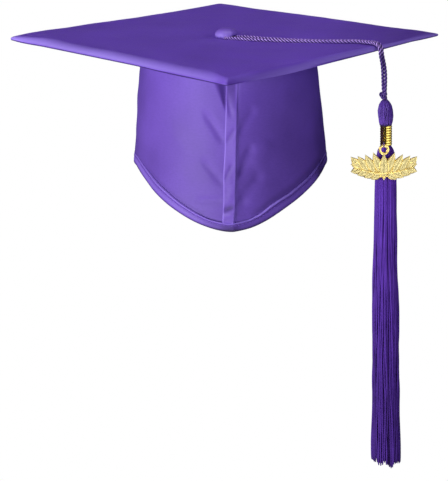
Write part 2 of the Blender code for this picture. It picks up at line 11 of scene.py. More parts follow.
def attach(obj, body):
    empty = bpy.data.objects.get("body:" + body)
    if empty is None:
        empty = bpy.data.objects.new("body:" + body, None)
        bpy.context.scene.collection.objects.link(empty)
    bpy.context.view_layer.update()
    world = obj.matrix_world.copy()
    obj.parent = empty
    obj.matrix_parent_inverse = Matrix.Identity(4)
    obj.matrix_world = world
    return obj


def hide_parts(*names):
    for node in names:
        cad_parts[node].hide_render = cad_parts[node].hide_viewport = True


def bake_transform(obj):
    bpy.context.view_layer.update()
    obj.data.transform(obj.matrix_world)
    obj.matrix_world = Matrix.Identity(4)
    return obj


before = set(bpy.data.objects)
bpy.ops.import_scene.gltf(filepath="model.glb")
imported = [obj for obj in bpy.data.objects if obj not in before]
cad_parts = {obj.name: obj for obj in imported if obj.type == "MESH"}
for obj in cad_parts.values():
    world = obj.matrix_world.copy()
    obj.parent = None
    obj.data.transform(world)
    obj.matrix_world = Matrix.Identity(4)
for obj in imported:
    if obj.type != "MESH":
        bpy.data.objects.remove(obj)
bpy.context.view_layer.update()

# ---------------------------------------------------------------- sizes, as in the part's source (metres)
BOARD_X, BOARD_HALF, TOP_Z = -0.0016, 0.12065, 0.1010
SKIRT_LOW = 0.0951
CROWN_X, CROWN_A, CROWN_A_GAIN, CROWN_B, CROWN_B_GAIN, CROWN_H = 0.0020, 0.0673, 0.0106, 0.0860, 0.0110, 0.0980
HEM_SIDE, HEM_FRONT, HEM_BACK = 0.1010, 0.1360, 0.1090
PANEL_T, LINING_T, GAP = 0.0008, 0.0005, 0.0003
BINDING_H = 0.0065
BUTTON_R, BUTTON_H, BUTTON_GAP, BUTTON_TILT, BUTTON_LIFT = 0.0094, 0.0064, 0.0004, 10.8, -84.0
CORD_D, LOOP_R, LEG_HALF, BEND_R, CORD_LEAVE = 0.0025, 0.0052, 0.0014, 0.0050, -65.0
EDGE_ALONG, TASSEL_PERP, TASSEL_ALONG = 0.0476, 0.1260, 0.0515
EDGE_N = np.array((1.0, -1.0, 0.0)) / math.sqrt(2)
EDGE_T = np.array((1.0, 1.0, 0.0)) / math.sqrt(2)
DROP_PIVOT = np.array((0.1201638, -0.0544472, 0.0949))
KNOT = np.array((0.1239115, -0.0526795, 0.0620))
TX, TY = KNOT[0], KNOT[1]
BAND_TOP, BAND_LOW, BAND_R, BAND_IN = 0.0383, 0.0224, 0.00475, 0.0041
CHARM_X, CHARM_Z, CHARM_T, CHARM_Y, CHARM_W, CHARM_H = 0.1222, 0.0076, 0.0016, -0.0611, 0.0532, 0.0224
CHARM_LOOP_Z, CHARM_LOOP_R, CHARM_HOLE_R = 0.0205, 0.0043, 0.0021
CHARM_PIVOT_Z = CHARM_LOOP_Z + (CHARM_LOOP_R + CHARM_HOLE_R) / 2


# ---------------------------------------------------------------- mesh helpers
def ease(t):
    t = np.clip(t, 0.0, 1.0)
    return t * t * (3 - 2 * t)


def ripple(x, y, size, seed, waves=7):
    """Smooth noise of about -1 to 1 with features of that size, the same each run."""
    r = np.random.default_rng(seed)
    out = 0.0
    for _ in range(waves):
        a, f, p = r.uniform(0, 2 * math.pi), 2 * math.pi / size * r.uniform(0.55, 1.5), r.uniform(0, 2 * math.pi)
        out = out + np.sin((x * math.cos(a) + y * math.sin(a)) * f + p)
    return out / waves * 1.7


def unit(v):
    return v / np.maximum(np.linalg.norm(v, axis=-1, keepdims=True), 1e-12)


class Skin:
    """Gathers grids of faces with texture coordinates in metres and makes them one object."""

    def __init__(self):
        self.points, self.quads, self.uvs, self.slots, self.wear, self.n = [], [], [], [], [], 0
        self.caps, self.cap_uvs, self.cap_slots = [], [], []

    def grid(self, P, UV, around=False, across=False, slot=0, wear=None):
        """P is (m, n, 3). around closes the first way, across the second. UV is (m, n, 2), or one longer where closed."""
        m, n = P.shape[:2]
        I, J = [x.ravel() for x in np.meshgrid(np.arange(m if around else m - 1),
                                               np.arange(n if across else n - 1), indexing="ij")]
        K, L = (I + 1) % m, (J + 1) % n
        self.quads.append(np.stack([I * n + J, K * n + J, K * n + L, I * n + L], 1) + self.n)
        if UV.shape[0] == m:
            UV = np.concatenate([UV, UV[:1]], 0)
        if UV.shape[1] == n:
            UV = np.concatenate([UV, UV[:, :1]], 1)
        self.uvs.append(np.stack([UV[I, J], UV[I + 1, J], UV[I + 1, J + 1], UV[I, J + 1]], 1))
        self.slots.append(np.full(len(I), slot, int) if np.isscalar(slot) else np.asarray(slot).ravel())
        self.points.append(P.reshape(-1, 3))
        self.wear.append(np.zeros(m * n) if wear is None else np.broadcast_to(wear, (m, n)).ravel())
        first = self.n
        self.n += m * n
        return first

    def cap(self, ring, uv=(0.0, 0.0), slot=0):
        self.caps.append([int(i) for i in ring])
        self.cap_uvs.append(np.tile(np.array(uv, float), (len(ring), 1)))
        self.cap_slots.append(slot)

    def make(self, name, materials, sharp=None):
        points, quads = np.concatenate(self.points), np.concatenate(self.quads)
        me = bpy.data.meshes.new(name)
        me.from_pydata(points.tolist(), [], quads.tolist() + self.caps)
        uv = me.uv_layers.new(name="Weave")
        flat = np.concatenate([np.concatenate(self.uvs).reshape(-1, 2)] + self.cap_uvs)
        uv.data.foreach_set("uv", flat.astype(np.float32).ravel())
        me.polygons.foreach_set("material_index", np.concatenate(self.slots + [np.array(self.cap_slots, int)]).astype(np.int32))
        painted_light_and_tone_level = me.attributes.new("wear", "FLOAT", "POINT")
        painted_light_and_tone_level.data.foreach_set("value", np.concatenate(self.wear).astype(np.float32))
        for mat in materials:
            me.materials.append(mat)
        bm = bmesh.new()
        bm.from_mesh(me)
        bmesh.ops.recalc_face_normals(bm, faces=bm.faces)
        bm.to_mesh(me)
        bm.free()
        me.shade_smooth()
        if sharp:
            me.set_sharp_from_angle(angle=math.radians(sharp))
        me.update()
        ob = bpy.data.objects.new(name, me)
        bpy.context.scene.collection.objects.link(ob)
        return ob


def frames(path):
    """Tangent and two cross directions along a path, carried along without twist."""
    t = unit(np.gradient(path, axis=0))
    ref = np.array((0.0, 0.0, 1.0)) if abs(t[0][2]) < 0.9 else np.array((1.0, 0.0, 0.0))
    n = np.zeros_like(path)
    n[0] = unit(ref - t[0] * (ref @ t[0]))
    for k in range(1, len(path)):
        v = n[k - 1] - t[k] * (n[k - 1] @ t[k])
        n[k] = v / max(np.linalg.norm(v), 1e-9)
    return t, n, np.cross(t, n)


def tube(skin, path, radius, sides, slot=0, caps=True, closed=False, wear=None, u0=0.0):
    """Round tube along a path. Texture: u once round, v along in metres."""
    path = np.asarray(path, float)
    radius = np.broadcast_to(np.asarray(radius, float), (len(path),))
    t, n, b = frames(path)
    a = 2 * math.pi * np.arange(sides) / sides
    P = path[:, None] + radius[:, None, None] * (np.cos(a)[None, :, None] * n[:, None] + np.sin(a)[None, :, None] * b[:, None])
    long = np.concatenate([[0], np.cumsum(np.linalg.norm(np.diff(path, axis=0), axis=1))])
    if closed:
        long = np.append(long, long[-1] + np.linalg.norm(path[0] - path[-1]))
    UV = np.stack(np.meshgrid(long, u0 + np.arange(sides + 1) / sides, indexing="ij")[::-1], -1)
    first = skin.grid(P, UV, around=closed, across=True, slot=slot, wear=None if wear is None else (np.asarray(wear) if np.ndim(wear) == 2 else np.asarray(wear)[:, None]))
    if caps and not closed:
        skin.cap(np.arange(sides)[::-1] + first, (0.5, 0.0), slot)
        skin.cap(np.arange(sides) + first + (len(path) - 1) * sides, (0.5, float(long[-1])), slot)


def along(path):
    return np.concatenate([[0], np.cumsum(np.linalg.norm(np.diff(path, axis=0), axis=1))])


def resample(path, step):
    s = along(path)
    at = np.linspace(0, s[-1], max(3, int(round(s[-1] / step)) + 1))
    return np.stack([np.interp(at, s, path[:, k]) for k in range(3)], 1)


def spline(points, steps=14):
    p = np.asarray(points, float)
    p = np.concatenate([[2 * p[0] - p[1]], p, [2 * p[-1] - p[-2]]])
    out = []
    for k in range(1, len(p) - 2):
        for t in np.arange(steps) / steps:
            out.append(0.5 * (2 * p[k] + (p[k + 1] - p[k - 1]) * t + (2 * p[k - 1] - 5 * p[k] + 4 * p[k + 1] - p[k + 2]) * t * t
                              + (3 * p[k] - p[k - 1] - 3 * p[k + 1] + p[k + 2]) * t ** 3))
    out.append(p[-2])
    return np.array(out)


def soften(path, rounds=6):
    path = path.copy()
    for _ in range(rounds):
        path[1:-1] = 0.25 * path[:-2] + 0.5 * path[1:-1] + 0.25 * path[2:]
    return path


def rope(skin, path, strands, r_strand, r_off, lay, sides=12, slot=0, phase=0.0, pale=(0.915, 0.985), least=0.0):
    """Strands laid right-handed round a path, marked for painted shade where they lie in the grooves."""
    t, n, b = frames(path)
    s = along(path)
    low, high = (np.broadcast_to(v, s.shape)[:, None] for v in pale)
    for k in range(strands):
        a = 2 * math.pi * (s / lay + k / strands) + phase
        out = np.cos(a)[:, None] * n + np.sin(a)[:, None] * b
        line = path + r_off * out
        lt, ln, lb = frames(line)
        q = 2 * math.pi * np.arange(sides) / sides
        ways = np.cos(q)[None, :, None] * ln[:, None] + np.sin(q)[None, :, None] * lb[:, None]
        far = np.linalg.norm(line[:, None] + r_strand * ways - path[:, None], axis=2) / (r_off + r_strand)
        tube(skin, line, r_strand, sides, slot, u0=k * 0.37, wear=1 - (1 - np.broadcast_to(least, s.shape)[:, None]) * ease((far - low) / (high - low)))


# ---------------------------------------------------------------- materials
class Shade:
    """A material with its node tree, and short ways to add nodes."""

    def __init__(self, name, roughness=0.5, metallic=0.0, specular=0.5, sheen=0.0, sheen_tint=None, sheen_rough=0.5, coat=0.0,
                 coat_rough=0.2, anisotropic=0.0):
        self.m = bpy.data.materials.new(name)
        self.m.use_nodes = True
        self.t = self.m.node_tree
        self.b = self.t.nodes["Principled BSDF"]
        self.b.inputs["Roughness"].default_value = roughness
        self.b.inputs["Metallic"].default_value = metallic
        self.b.inputs["Specular IOR Level"].default_value = specular
        self.b.inputs["Sheen Weight"].default_value = sheen
        self.b.inputs["Sheen Roughness"].default_value = sheen_rough
        if sheen_tint:
            self.b.inputs["Sheen Tint"].default_value = (*sheen_tint, 1.0)
        self.b.inputs["Coat Weight"].default_value = coat
        self.b.inputs["Coat Roughness"].default_value = coat_rough
        self.b.inputs["Anisotropic"].default_value = anisotropic

    def add(self, kind, inputs=None, **props):
        n = self.t.nodes.new(kind)
        for k, v in props.items():
            setattr(n, k, v)
        for k, v in (inputs or {}).items():
            if isinstance(v, bpy.types.NodeSocket):
                self.t.links.new(v, n.inputs[k])
            else:
                n.inputs[k].default_value = v
        return n

    def uv(self):
        return self.add("ShaderNodeUVMap", uv_map="Weave").outputs[0]

    def place(self):
        return self.add("ShaderNodeTexCoord").outputs["Object"]

    def scaled(self, vector, scale, turn=0.0):
        return self.add("ShaderNodeMapping", {"Vector": vector, "Scale": scale, "Rotation": (0.0, 0.0, turn)}).outputs[0]

    def noise(self, vector, scale, detail=3.0, rough=0.55):
        return self.add("ShaderNodeTexNoise", {"Vector": vector, "Scale": scale, "Detail": detail, "Roughness": rough}).outputs["Fac"]

    def wave(self, vector, period, way="X", distort=0.0, detail=0.0):
        return self.add("ShaderNodeTexWave", {"Vector": vector, "Scale": 0.314159 / period, "Distortion": distort, "Detail": detail},
                        wave_type="BANDS", bands_direction=way).outputs["Fac"]

    def math(self, what, a, b=None, c=None):
        given = {0: a}
        if b is not None:
            given[1] = b
        if c is not None:
            given[2] = c
        return self.add("ShaderNodeMath", given, operation=what).outputs[0]

    def span(self, value, low, high, a=0.0, b=1.0):
        return self.add("ShaderNodeMapRange", {"Value": value, "From Min": a, "From Max": b, "To Min": low, "To Max": high}).outputs[0]

    def mix(self, fac, a, b, blend="MIX"):
        n = self.t.nodes.new("ShaderNodeMix")
        n.data_type, n.blend_type = "RGBA", blend
        for key, v in (("Factor_Float", fac), ("A_Color", a), ("B_Color", b)):
            sock = next(s for s in n.inputs if s.identifier == key)
            if isinstance(v, bpy.types.NodeSocket):
                self.t.links.new(v, sock)
            elif key == "Factor_Float":
                sock.default_value = v
            else:
                sock.default_value = (*v, 1.0)
        return next(s for s in n.outputs if s.identifier == "Result_Color")

    def attribute(self, name):
        return self.add("ShaderNodeAttribute", attribute_name=name).outputs["Fac"]

    def bump(self, height, distance, strength=1.0, normal=None):
        given = {"Height": height, "Distance": distance, "Strength": strength}
        if normal is not None:
            given["Normal"] = normal
        return self.add("ShaderNodeBump", given).outputs[0]

    def set(self, **sockets):
        for key, v in sockets.items():
            name = {"color": "Base Color", "rough": "Roughness", "normal": "Normal"}[key]
            self.t.links.new(v, self.b.inputs[name])
        return self.m


def tone(c, k, grey=0.0):
    m = sum(c) / 3
    return tuple(min(1.0, (x + (m - x) * grey) * k) for x in c)


def cloth(name, colour, rough=(0.50, 0.62), thread=0.00052, relief=0.00007, vary=0.10, painted_light_and_tone_level=1.25, specular=0.35, sheen=0.06,
          sheen_rough=0.45, highlight_grey=0.06):
    """Close satin-weave cloth: fine slanting floats, slubs, soft patches of tone, a painted highlight where the mesh
    marks it pale, as round an edge, and painted shade where the mesh marks it dark, as in a crease."""
    s = Shade(name, specular=specular, sheen=sheen, sheen_tint=tone(colour, 2.2), sheen_rough=sheen_rough)
    uv = s.uv()
    floats = s.wave(s.scaled(uv, (1.0, 1.0, 1.0), 0.60), thread, "X", 0.6, 1.0)
    picks = s.wave(uv, thread * 1.55, "Y", 0.5, 1.0)
    slub = s.noise(s.scaled(uv, (1.0, 9.0, 1.0)), 180.0, 2.0)
    patch = s.noise(uv, 24.0, 3.0, 0.5)
    fleck = s.noise(s.scaled(uv, (1.0, 2.2, 1.0)), 330.0, 2.0, 0.6)
    weave = s.math("MULTIPLY_ADD", picks, 0.45, s.math("MULTIPLY", floats, 0.55))
    shade = s.mix(s.span(patch, 0.0, 1.0, 0.3, 0.7), tone(colour, 1 - vary), tone(colour, 1 + vary))
    shade = s.mix(s.math("MULTIPLY", s.math("SUBTRACT", 1.0, weave), 0.30), shade, tone(colour, 0.62))
    shade = s.mix(s.span(slub, 0.0, 0.16, 0.45, 0.8), shade, tone(colour, 1.35))
    shade = s.mix(s.span(fleck, 0.0, 0.30, 0.42, 0.72), shade, tone(colour, 0.72))
    # painted light: positive marks mix in a paler, greyer tone as a painted highlight, negative marks a dark tone as
    # painted shade
    shade = s.mix(s.math("MULTIPLY", s.attribute("wear"), 0.8), shade, tone(colour, painted_light_and_tone_level, highlight_grey))
    shade = s.mix(s.math("MULTIPLY", s.attribute("wear"), -0.9), shade, tone(colour, 0.16))
    height = s.math("MULTIPLY_ADD", slub, 0.5, weave)
    return s.set(color=shade, rough=s.span(s.math("ADD", s.math("MULTIPLY", patch, 0.6), s.math("MULTIPLY", weave, 0.4)), *rough, 0.2, 0.8),
                 normal=s.bump(height, relief, 0.55))


def lining_cloth(name, colour, thread=0.0005):
    """Thin plain weave: threads over and under in both ways."""
    s = Shade(name, specular=0.25, sheen=0.08, sheen_tint=tone(colour, 2.0))
    uv = s.uv()
    a, b = s.wave(uv, thread, "X", 0.8, 1.0), s.wave(uv, thread, "Y", 0.8, 1.0)
    weave = s.math("MULTIPLY", a, b)
    patch = s.noise(uv, 30.0, 3.0)
    shade = s.mix(s.span(patch, 0.0, 1.0, 0.3, 0.7), tone(colour, 0.88), tone(colour, 1.12))
    shade = s.mix(s.math("MULTIPLY", weave, 0.35), shade, tone(colour, 1.4))
    return s.set(color=shade, rough=s.span(patch, 0.58, 0.74), normal=s.bump(weave, 0.00006, 0.6))


def yarn(name, colour, fibres=9.0, rough=(0.38, 0.56), relief=0.00010, specular=0.15, sheen=0.02, dark=0.5, light=1.4, slant=900.0,
         deep=None, gloss=None):
    """Shiny yarn: fibres that run along it at a slant, each yarn a little different, darker where its mesh marks
    painted shade or a darker tone.
    """
    s = Shade(name, specular=specular, sheen=sheen, sheen_tint=tone(colour, 2.0), sheen_rough=0.4)
    if gloss:
        s.b.inputs["Specular Tint"].default_value = (*gloss, 1.0)
    uv = s.uv()
    part = s.add("ShaderNodeSeparateXYZ", {0: uv})
    u, v = part.outputs[0], part.outputs[1]
    turn = s.math("MULTIPLY_ADD", v, slant, s.math("MULTIPLY", u, fibres))
    fibre = s.math("SINE", s.math("MULTIPLY", turn, 2 * math.pi))
    fine = s.noise(s.scaled(uv, (40.0, 900.0, 1.0)), 1.0, 2.0)
    patch = s.noise(s.place(), 90.0, 2.0)
    height = s.math("MULTIPLY_ADD", fibre, 0.22, s.math("MULTIPLY", fine, 0.5))
    shade = s.mix(s.span(patch, 0.0, 1.0, 0.3, 0.7), tone(colour, 0.84), tone(colour, 1.16))
    shade = s.mix(s.span(fibre, 0.0, 0.35, -1.0, 1.0), shade, tone(colour, light))
    shade = s.mix(s.math("MULTIPLY", s.attribute("wear"), 0.97), shade, deep or tone(colour, dark))
    return s.set(color=shade, rough=s.span(fine, *rough, 0.25, 0.75), normal=s.bump(height, relief, 0.7))


def gold(name, colour, rough=(0.16, 0.30), scratch=0.00003):
    s = Shade(name, metallic=1.0)
    p = s.place()
    patch = s.noise(p, 260.0, 3.0)
    marks = s.noise(s.scaled(p, (1.0, 1.0, 14.0)), 500.0, 2.0)
    shade = s.mix(s.span(patch, 0.0, 1.0, 0.3, 0.7), tone(colour, 0.84), tone(colour, 1.10))
    shade = s.mix(s.math("MULTIPLY", s.attribute("wear"), 0.7), shade, tone((0.30, 0.19, 0.05), 0.8))
    return s.set(color=shade, rough=s.span(marks, *rough, 0.3, 0.7), normal=s.bump(marks, scratch, 0.6))


def glitter(name, colour):
    """Gold set with fine glitter: each grain tilts its own way and has its own tone."""
    s = Shade(name, metallic=1.0)
    p = s.place()
    grain = s.add("ShaderNodeTexVoronoi", {"Vector": p, "Scale": 2600.0, "Randomness": 1.0}, feature="F1")
    tilt = s.add("ShaderNodeVectorMath", {0: grain.outputs["Color"], 1: (0.5, 0.5, 0.5)}, operation="SUBTRACT").outputs[0]
    tilt = s.add("ShaderNodeVectorMath", {0: tilt, "Scale": 0.55}, operation="SCALE").outputs[0]
    geo = s.add("ShaderNodeNewGeometry")
    lean = s.add("ShaderNodeVectorMath", {0: geo.outputs["Normal"], 1: tilt}, operation="ADD").outputs[0]
    lean = s.add("ShaderNodeVectorMath", {0: lean}, operation="NORMALIZE").outputs[0]
    grey = s.add("ShaderNodeSeparateColor", {0: grain.outputs["Color"]})
    shade = s.mix(grey.outputs[0], tone(colour, 0.72), tone(colour, 1.12, 0.15))
    shade = s.mix(s.math("MULTIPLY", s.attribute("wear"), 0.85), shade, tone(colour, 0.24))
    return s.set(color=shade, rough=s.span(grey.outputs[1], 0.46, 0.66),
                 normal=s.bump(grain.outputs["Distance"], 0.00004, 0.5, lean))


def steel(name):
    s = Shade(name, metallic=1.0)
    p = s.place()
    lines = s.noise(s.scaled(p, (1.0, 1.0, 30.0)), 400.0, 2.0)
    spots = s.noise(p, 350.0, 4.0)
    shade = s.mix(s.span(spots, 0.0, 1.0, 0.35, 0.7), (0.44, 0.45, 0.46), (0.62, 0.63, 0.64))
    return s.set(color=shade, rough=s.span(lines, 0.26, 0.46), normal=s.bump(lines, 0.00002, 0.5))


def card(name):
    s = Shade(name, specular=0.2)
    p = s.place()
    pulp = s.noise(p, 700.0, 5.0, 0.7)
    clump = s.noise(p, 60.0, 3.0)
    shade = s.mix(s.span(pulp, 0.0, 1.0, 0.3, 0.7), (0.26, 0.23, 0.20), (0.40, 0.37, 0.33))
    shade = s.mix(s.span(clump, 0.0, 0.35, 0.4, 0.7), shade, (0.22, 0.20, 0.18))
    return s.set(color=shade, rough=s.span(pulp, 0.82, 0.95), normal=s.bump(pulp, 0.00012, 0.6))


def wadding(name):
    s = Shade(name, specular=0.15, sheen=0.2)
    p = s.place()
    fluff = s.noise(p, 420.0, 5.0, 0.7)
    clump = s.noise(p, 70.0, 3.0)
    shade = s.mix(s.span(clump, 0.0, 1.0, 0.3, 0.7), (0.66, 0.65, 0.62), (0.84, 0.83, 0.81))
    shade = s.mix(s.span(fluff, 0.25, 0.0, 0.3, 0.6), shade, (0.55, 0.54, 0.52))
    return s.set(color=shade, rough=s.span(fluff, 0.88, 1.0), normal=s.bump(fluff, 0.0006, 0.8))


def elastic_mat(name, colour):
    s = Shade(name, specular=0.25, sheen=0.1, sheen_tint=tone(colour, 2.0))
    uv = s.uv()
    ribs = s.wave(uv, 0.0011, "Y", 0.2, 0.0)
    knit = s.wave(uv, 0.0007, "X", 0.8, 1.0)
    shade = s.mix(ribs, tone(colour, 0.6), tone(colour, 1.25))
    shade = s.mix(s.math("MULTIPLY", knit, 0.3), shade, tone(colour, 1.6))
    return s.set(color=shade, rough=s.span(knit, 0.60, 0.8), normal=s.bump(s.math("MULTIPLY_ADD", knit, 0.4, ribs), 0.0002, 0.8))


PURPLE_BOARD = (0.117, 0.051, 0.425)
PURPLE_CROWN = (0.125, 0.062, 0.392)
M_BOARD = cloth("board_satin", PURPLE_BOARD, rough=(0.42, 0.54), specular=0.24, sheen=0.02, painted_light_and_tone_level=2.05, highlight_grey=0.34)
M_CROWN = cloth("crown_satin", PURPLE_CROWN, rough=(0.50, 0.62), specular=0.22, sheen=0.02, painted_light_and_tone_level=1.95, highlight_grey=0.20)
M_BUTTON = cloth("button_satin", PURPLE_CROWN, rough=(0.38, 0.48), thread=0.00045, specular=0.24, painted_light_and_tone_level=2.2, highlight_grey=0.22)
M_LINING = lining_cloth("lining_weave", (0.090, 0.046, 0.255))
M_ELASTIC = elastic_mat("ribbed_elastic", (0.085, 0.045, 0.240))
M_CORD = yarn("rayon_cord", (0.510, 0.325, 1.000), fibres=7.0, slant=500.0, rough=(0.36, 0.50), specular=0.32, sheen=0.02,
              deep=(0.012, 0.002, 0.090), gloss=(0.42, 0.28, 1.0))
M_HEAD = yarn("head_yarn", (0.083, 0.033, 0.290), fibres=5.0, slant=400.0, dark=0.10, specular=0.22)
M_FRINGE = yarn("fringe_yarn", (0.085, 0.028, 0.312), fibres=6.0, slant=300.0, dark=0.16, relief=0.00008, specular=0.08)
M_THREAD = yarn("sewing_thread", (0.090, 0.038, 0.285), fibres=3.0, slant=900.0, relief=0.00005)
M_STITCH = yarn("stitch_thread", (0.150, 0.072, 0.460), fibres=3.0, slant=900.0, relief=0.00004)
M_GOLD = gold("polished_gold", (0.83, 0.63, 0.14), rough=(0.16, 0.22), scratch=0.000008)
M_GOLD_EDGE = gold("pendant_edge_gold", (0.66, 0.50, 0.17), rough=(0.30, 0.40), scratch=0.00001)
M_GLITTER = glitter("pendant_glitter", (0.525, 0.440, 0.190))
M_STEEL, M_CARD, M_WADDING = steel("plain_steel"), card("grey_card"), wadding("white_wadding")


def put(ob, body, slot, *nodes):
    """Rides on a body and stands for its CAD nodes, which it hides; the slot is not used."""
    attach(ob, body)
    if nodes:
        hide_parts(*nodes)
    return ob


# ---------------------------------------------------------------- board
def warp(x, y):
    """The card is bowed a little: side corners up, front and back corners down."""
    xb = x - BOARD_X
    return 0.002493 * (xb * xb - y * y) / 0.1706 ** 2


DIMPLE = 0.00135


def dimple(x, y):
    """The button pulls the padding in."""
    return -DIMPLE * (1 - ease((np.hypot(x, y) - 0.0092) / 0.0110))


CORNER_N, EDGE_NUM = 12, 46


def square(half, r):
    """Outline of the board, a square on its corner with rounded corners, as (n, 2)."""
    out = []
    for c in range(4):
        a0 = math.pi / 2 * c
        far = (half - r) * math.sqrt(2)
        centre = np.array((math.cos(a0), math.sin(a0))) * far
        turn = a0 + math.pi / 4 * (2 * np.arange(CORNER_N + 1) / CORNER_N - 1)
        arc = centre + r * np.stack([np.cos(turn), np.sin(turn)], 1)
        nxt = np.array((math.cos(a0 + math.pi / 2), math.sin(a0 + math.pi / 2))) * far + r * np.array(
            (math.cos(a0 + math.pi / 4), math.sin(a0 + math.pi / 4)))
        t = np.arange(1, EDGE_NUM)[:, None] / EDGE_NUM
        out += [arc, arc[-1] + (nxt - arc[-1]) * t]
    out = np.concatenate(out)
    out[:, 0] -= 0.0030 * np.exp(-(np.hypot(out[:, 0], out[:, 1] - BOARD_HALF * math.sqrt(2)) / 0.040) ** 2)   # the back corner is drawn to the left
    return out + (BOARD_X, 0.0)


OUTER = square(BOARD_HALF, 0.0022)
ARC = np.concatenate([[0], np.cumsum(np.linalg.norm(np.diff(OUTER, axis=0), axis=1))])
LOOK = np.arctan2(OUTER[:, 1], OUTER[:, 0])


def ring(inset, grow=0.16):
    return square(BOARD_HALF - inset, 0.0022 + grow * inset)


def top_height(x, y):
    """Upper face: the warp, the dimple at the button, a soft swell of the padding and faint ripples."""
    rho = np.hypot(x, y)
    star = 0.00012 * np.cos(9 * np.arctan2(y, x) + 0.7) * np.exp(-((rho - 0.018) / 0.009) ** 2)
    swell = 0.00022 * ripple(x, y, 0.085, 11) + 0.00010 * ripple(x, y, 0.030, 12)
    d = BOARD_HALF * math.sqrt(2)
    left, right, back = np.hypot(x - BOARD_X + d, y), np.hypot(x - BOARD_X - d, y), np.hypot(x - BOARD_X, y - d)
    sag = -0.0009 * np.exp(-(left / 0.014) ** 2) + 0.0006 * np.exp(-((left - 0.036) / 0.020) ** 2)
    sag = sag - 0.0013 * np.exp(-(right / 0.016) ** 2) - 0.0011 * np.exp(-((right - 0.048) / 0.034) ** 2)
    sag = sag + 0.0009 * np.exp(-(back / 0.035) ** 2)
    return TOP_Z + warp(x, y) + dimple(x, y) + star + swell + sag


def drawn_up(x, y):
    """How far the rim's lower edge is drawn up: along the left front and towards the right corner."""
    right = np.hypot(x - BOARD_X - BOARD_HALF * math.sqrt(2), y)
    front_left = ease(((BOARD_X - x - y) / math.sqrt(2) / BOARD_HALF - 0.55) / 0.40)
    up = front_left * np.interp(x, (-0.171, -0.163, -0.158, -0.1535, -0.146, -0.070, -0.053, -0.037), (0.0014, 0.0010, 0.0010, 0.0011, 0.0014, 0.0013, 0.0006, 0.0003))
    up = up + np.interp(right, (0.0, 0.010, 0.020, 0.029, 0.040, 0.056, 0.083, 0.110, 0.130), (0.0020, 0.0019, 0.0019, 0.0021, 0.0018, 0.0014, 0.0006, 0.00015, 0.0))
    return up - 0.0012 * ease((x - y) / math.sqrt(2) / BOARD_HALF * 4 - 3) * np.exp(-((x - 0.046) / 0.026) ** 2)


def low_height(x, y):
    return SKIRT_LOW + warp(x, y) + drawn_up(x, y)


ROLL_H, ROLL_V = 0.0056, 0.0040
WALK = (np.cos(LOOK) * 0.17, np.sin(LOOK) * 0.17)
HEAVE = 0.0005 * ripple(*WALK, 0.075, 21)            # the roll is fuller in places
WIDE = 1 + 0.16 * ripple(*WALK, 0.050, 22) + 0.07 * ripple(*WALK, 0.016, 23)
BROAD = ease((BOARD_X + 0.003 - OUTER[:, 0]) / 0.014) * ease(-OUTER[:, 1] / 0.022)      # the left front has a broad soft roll
NARROW = ease((OUTER[:, 0] - BOARD_X - 0.004) / 0.02) * ease(-OUTER[:, 1] / 0.022)      # and the right front a narrow one
CORNER = np.exp(-((OUTER[:, 0] - BOARD_X) / 0.007) ** 2) * (OUTER[:, 1] < 0)
# strength of the painted shade line along the rim's lower edge, round the board
RIM_PAINTED_SHADE = np.where(OUTER[:, 1] < 0, np.interp(OUTER[:, 0], (-0.012, 0.002, 0.014, 0.070, 0.095), (1.0, 0.75, 0.0, 0.0, 1.0)), 0.6)
# the rim's roll gets a painted highlight, palest along the left front, hardly at the front corner
NEAR = NARROW * (1 - ease((OUTER[:, 0] - 0.055) / 0.030))
RIM_PAINTED_HIGHLIGHT = np.where(OUTER[:, 1] < 0, np.interp(OUTER[:, 0], (-0.170, -0.080, -0.052, -0.012, 0.002, 0.012, 0.030, 0.060, 0.090, 0.120, 0.160), (1.0, 1.0, 0.70, 0.50, 0.18, 0.28, 0.38, 0.58, 0.66, 0.85, 0.85)), 0.5)


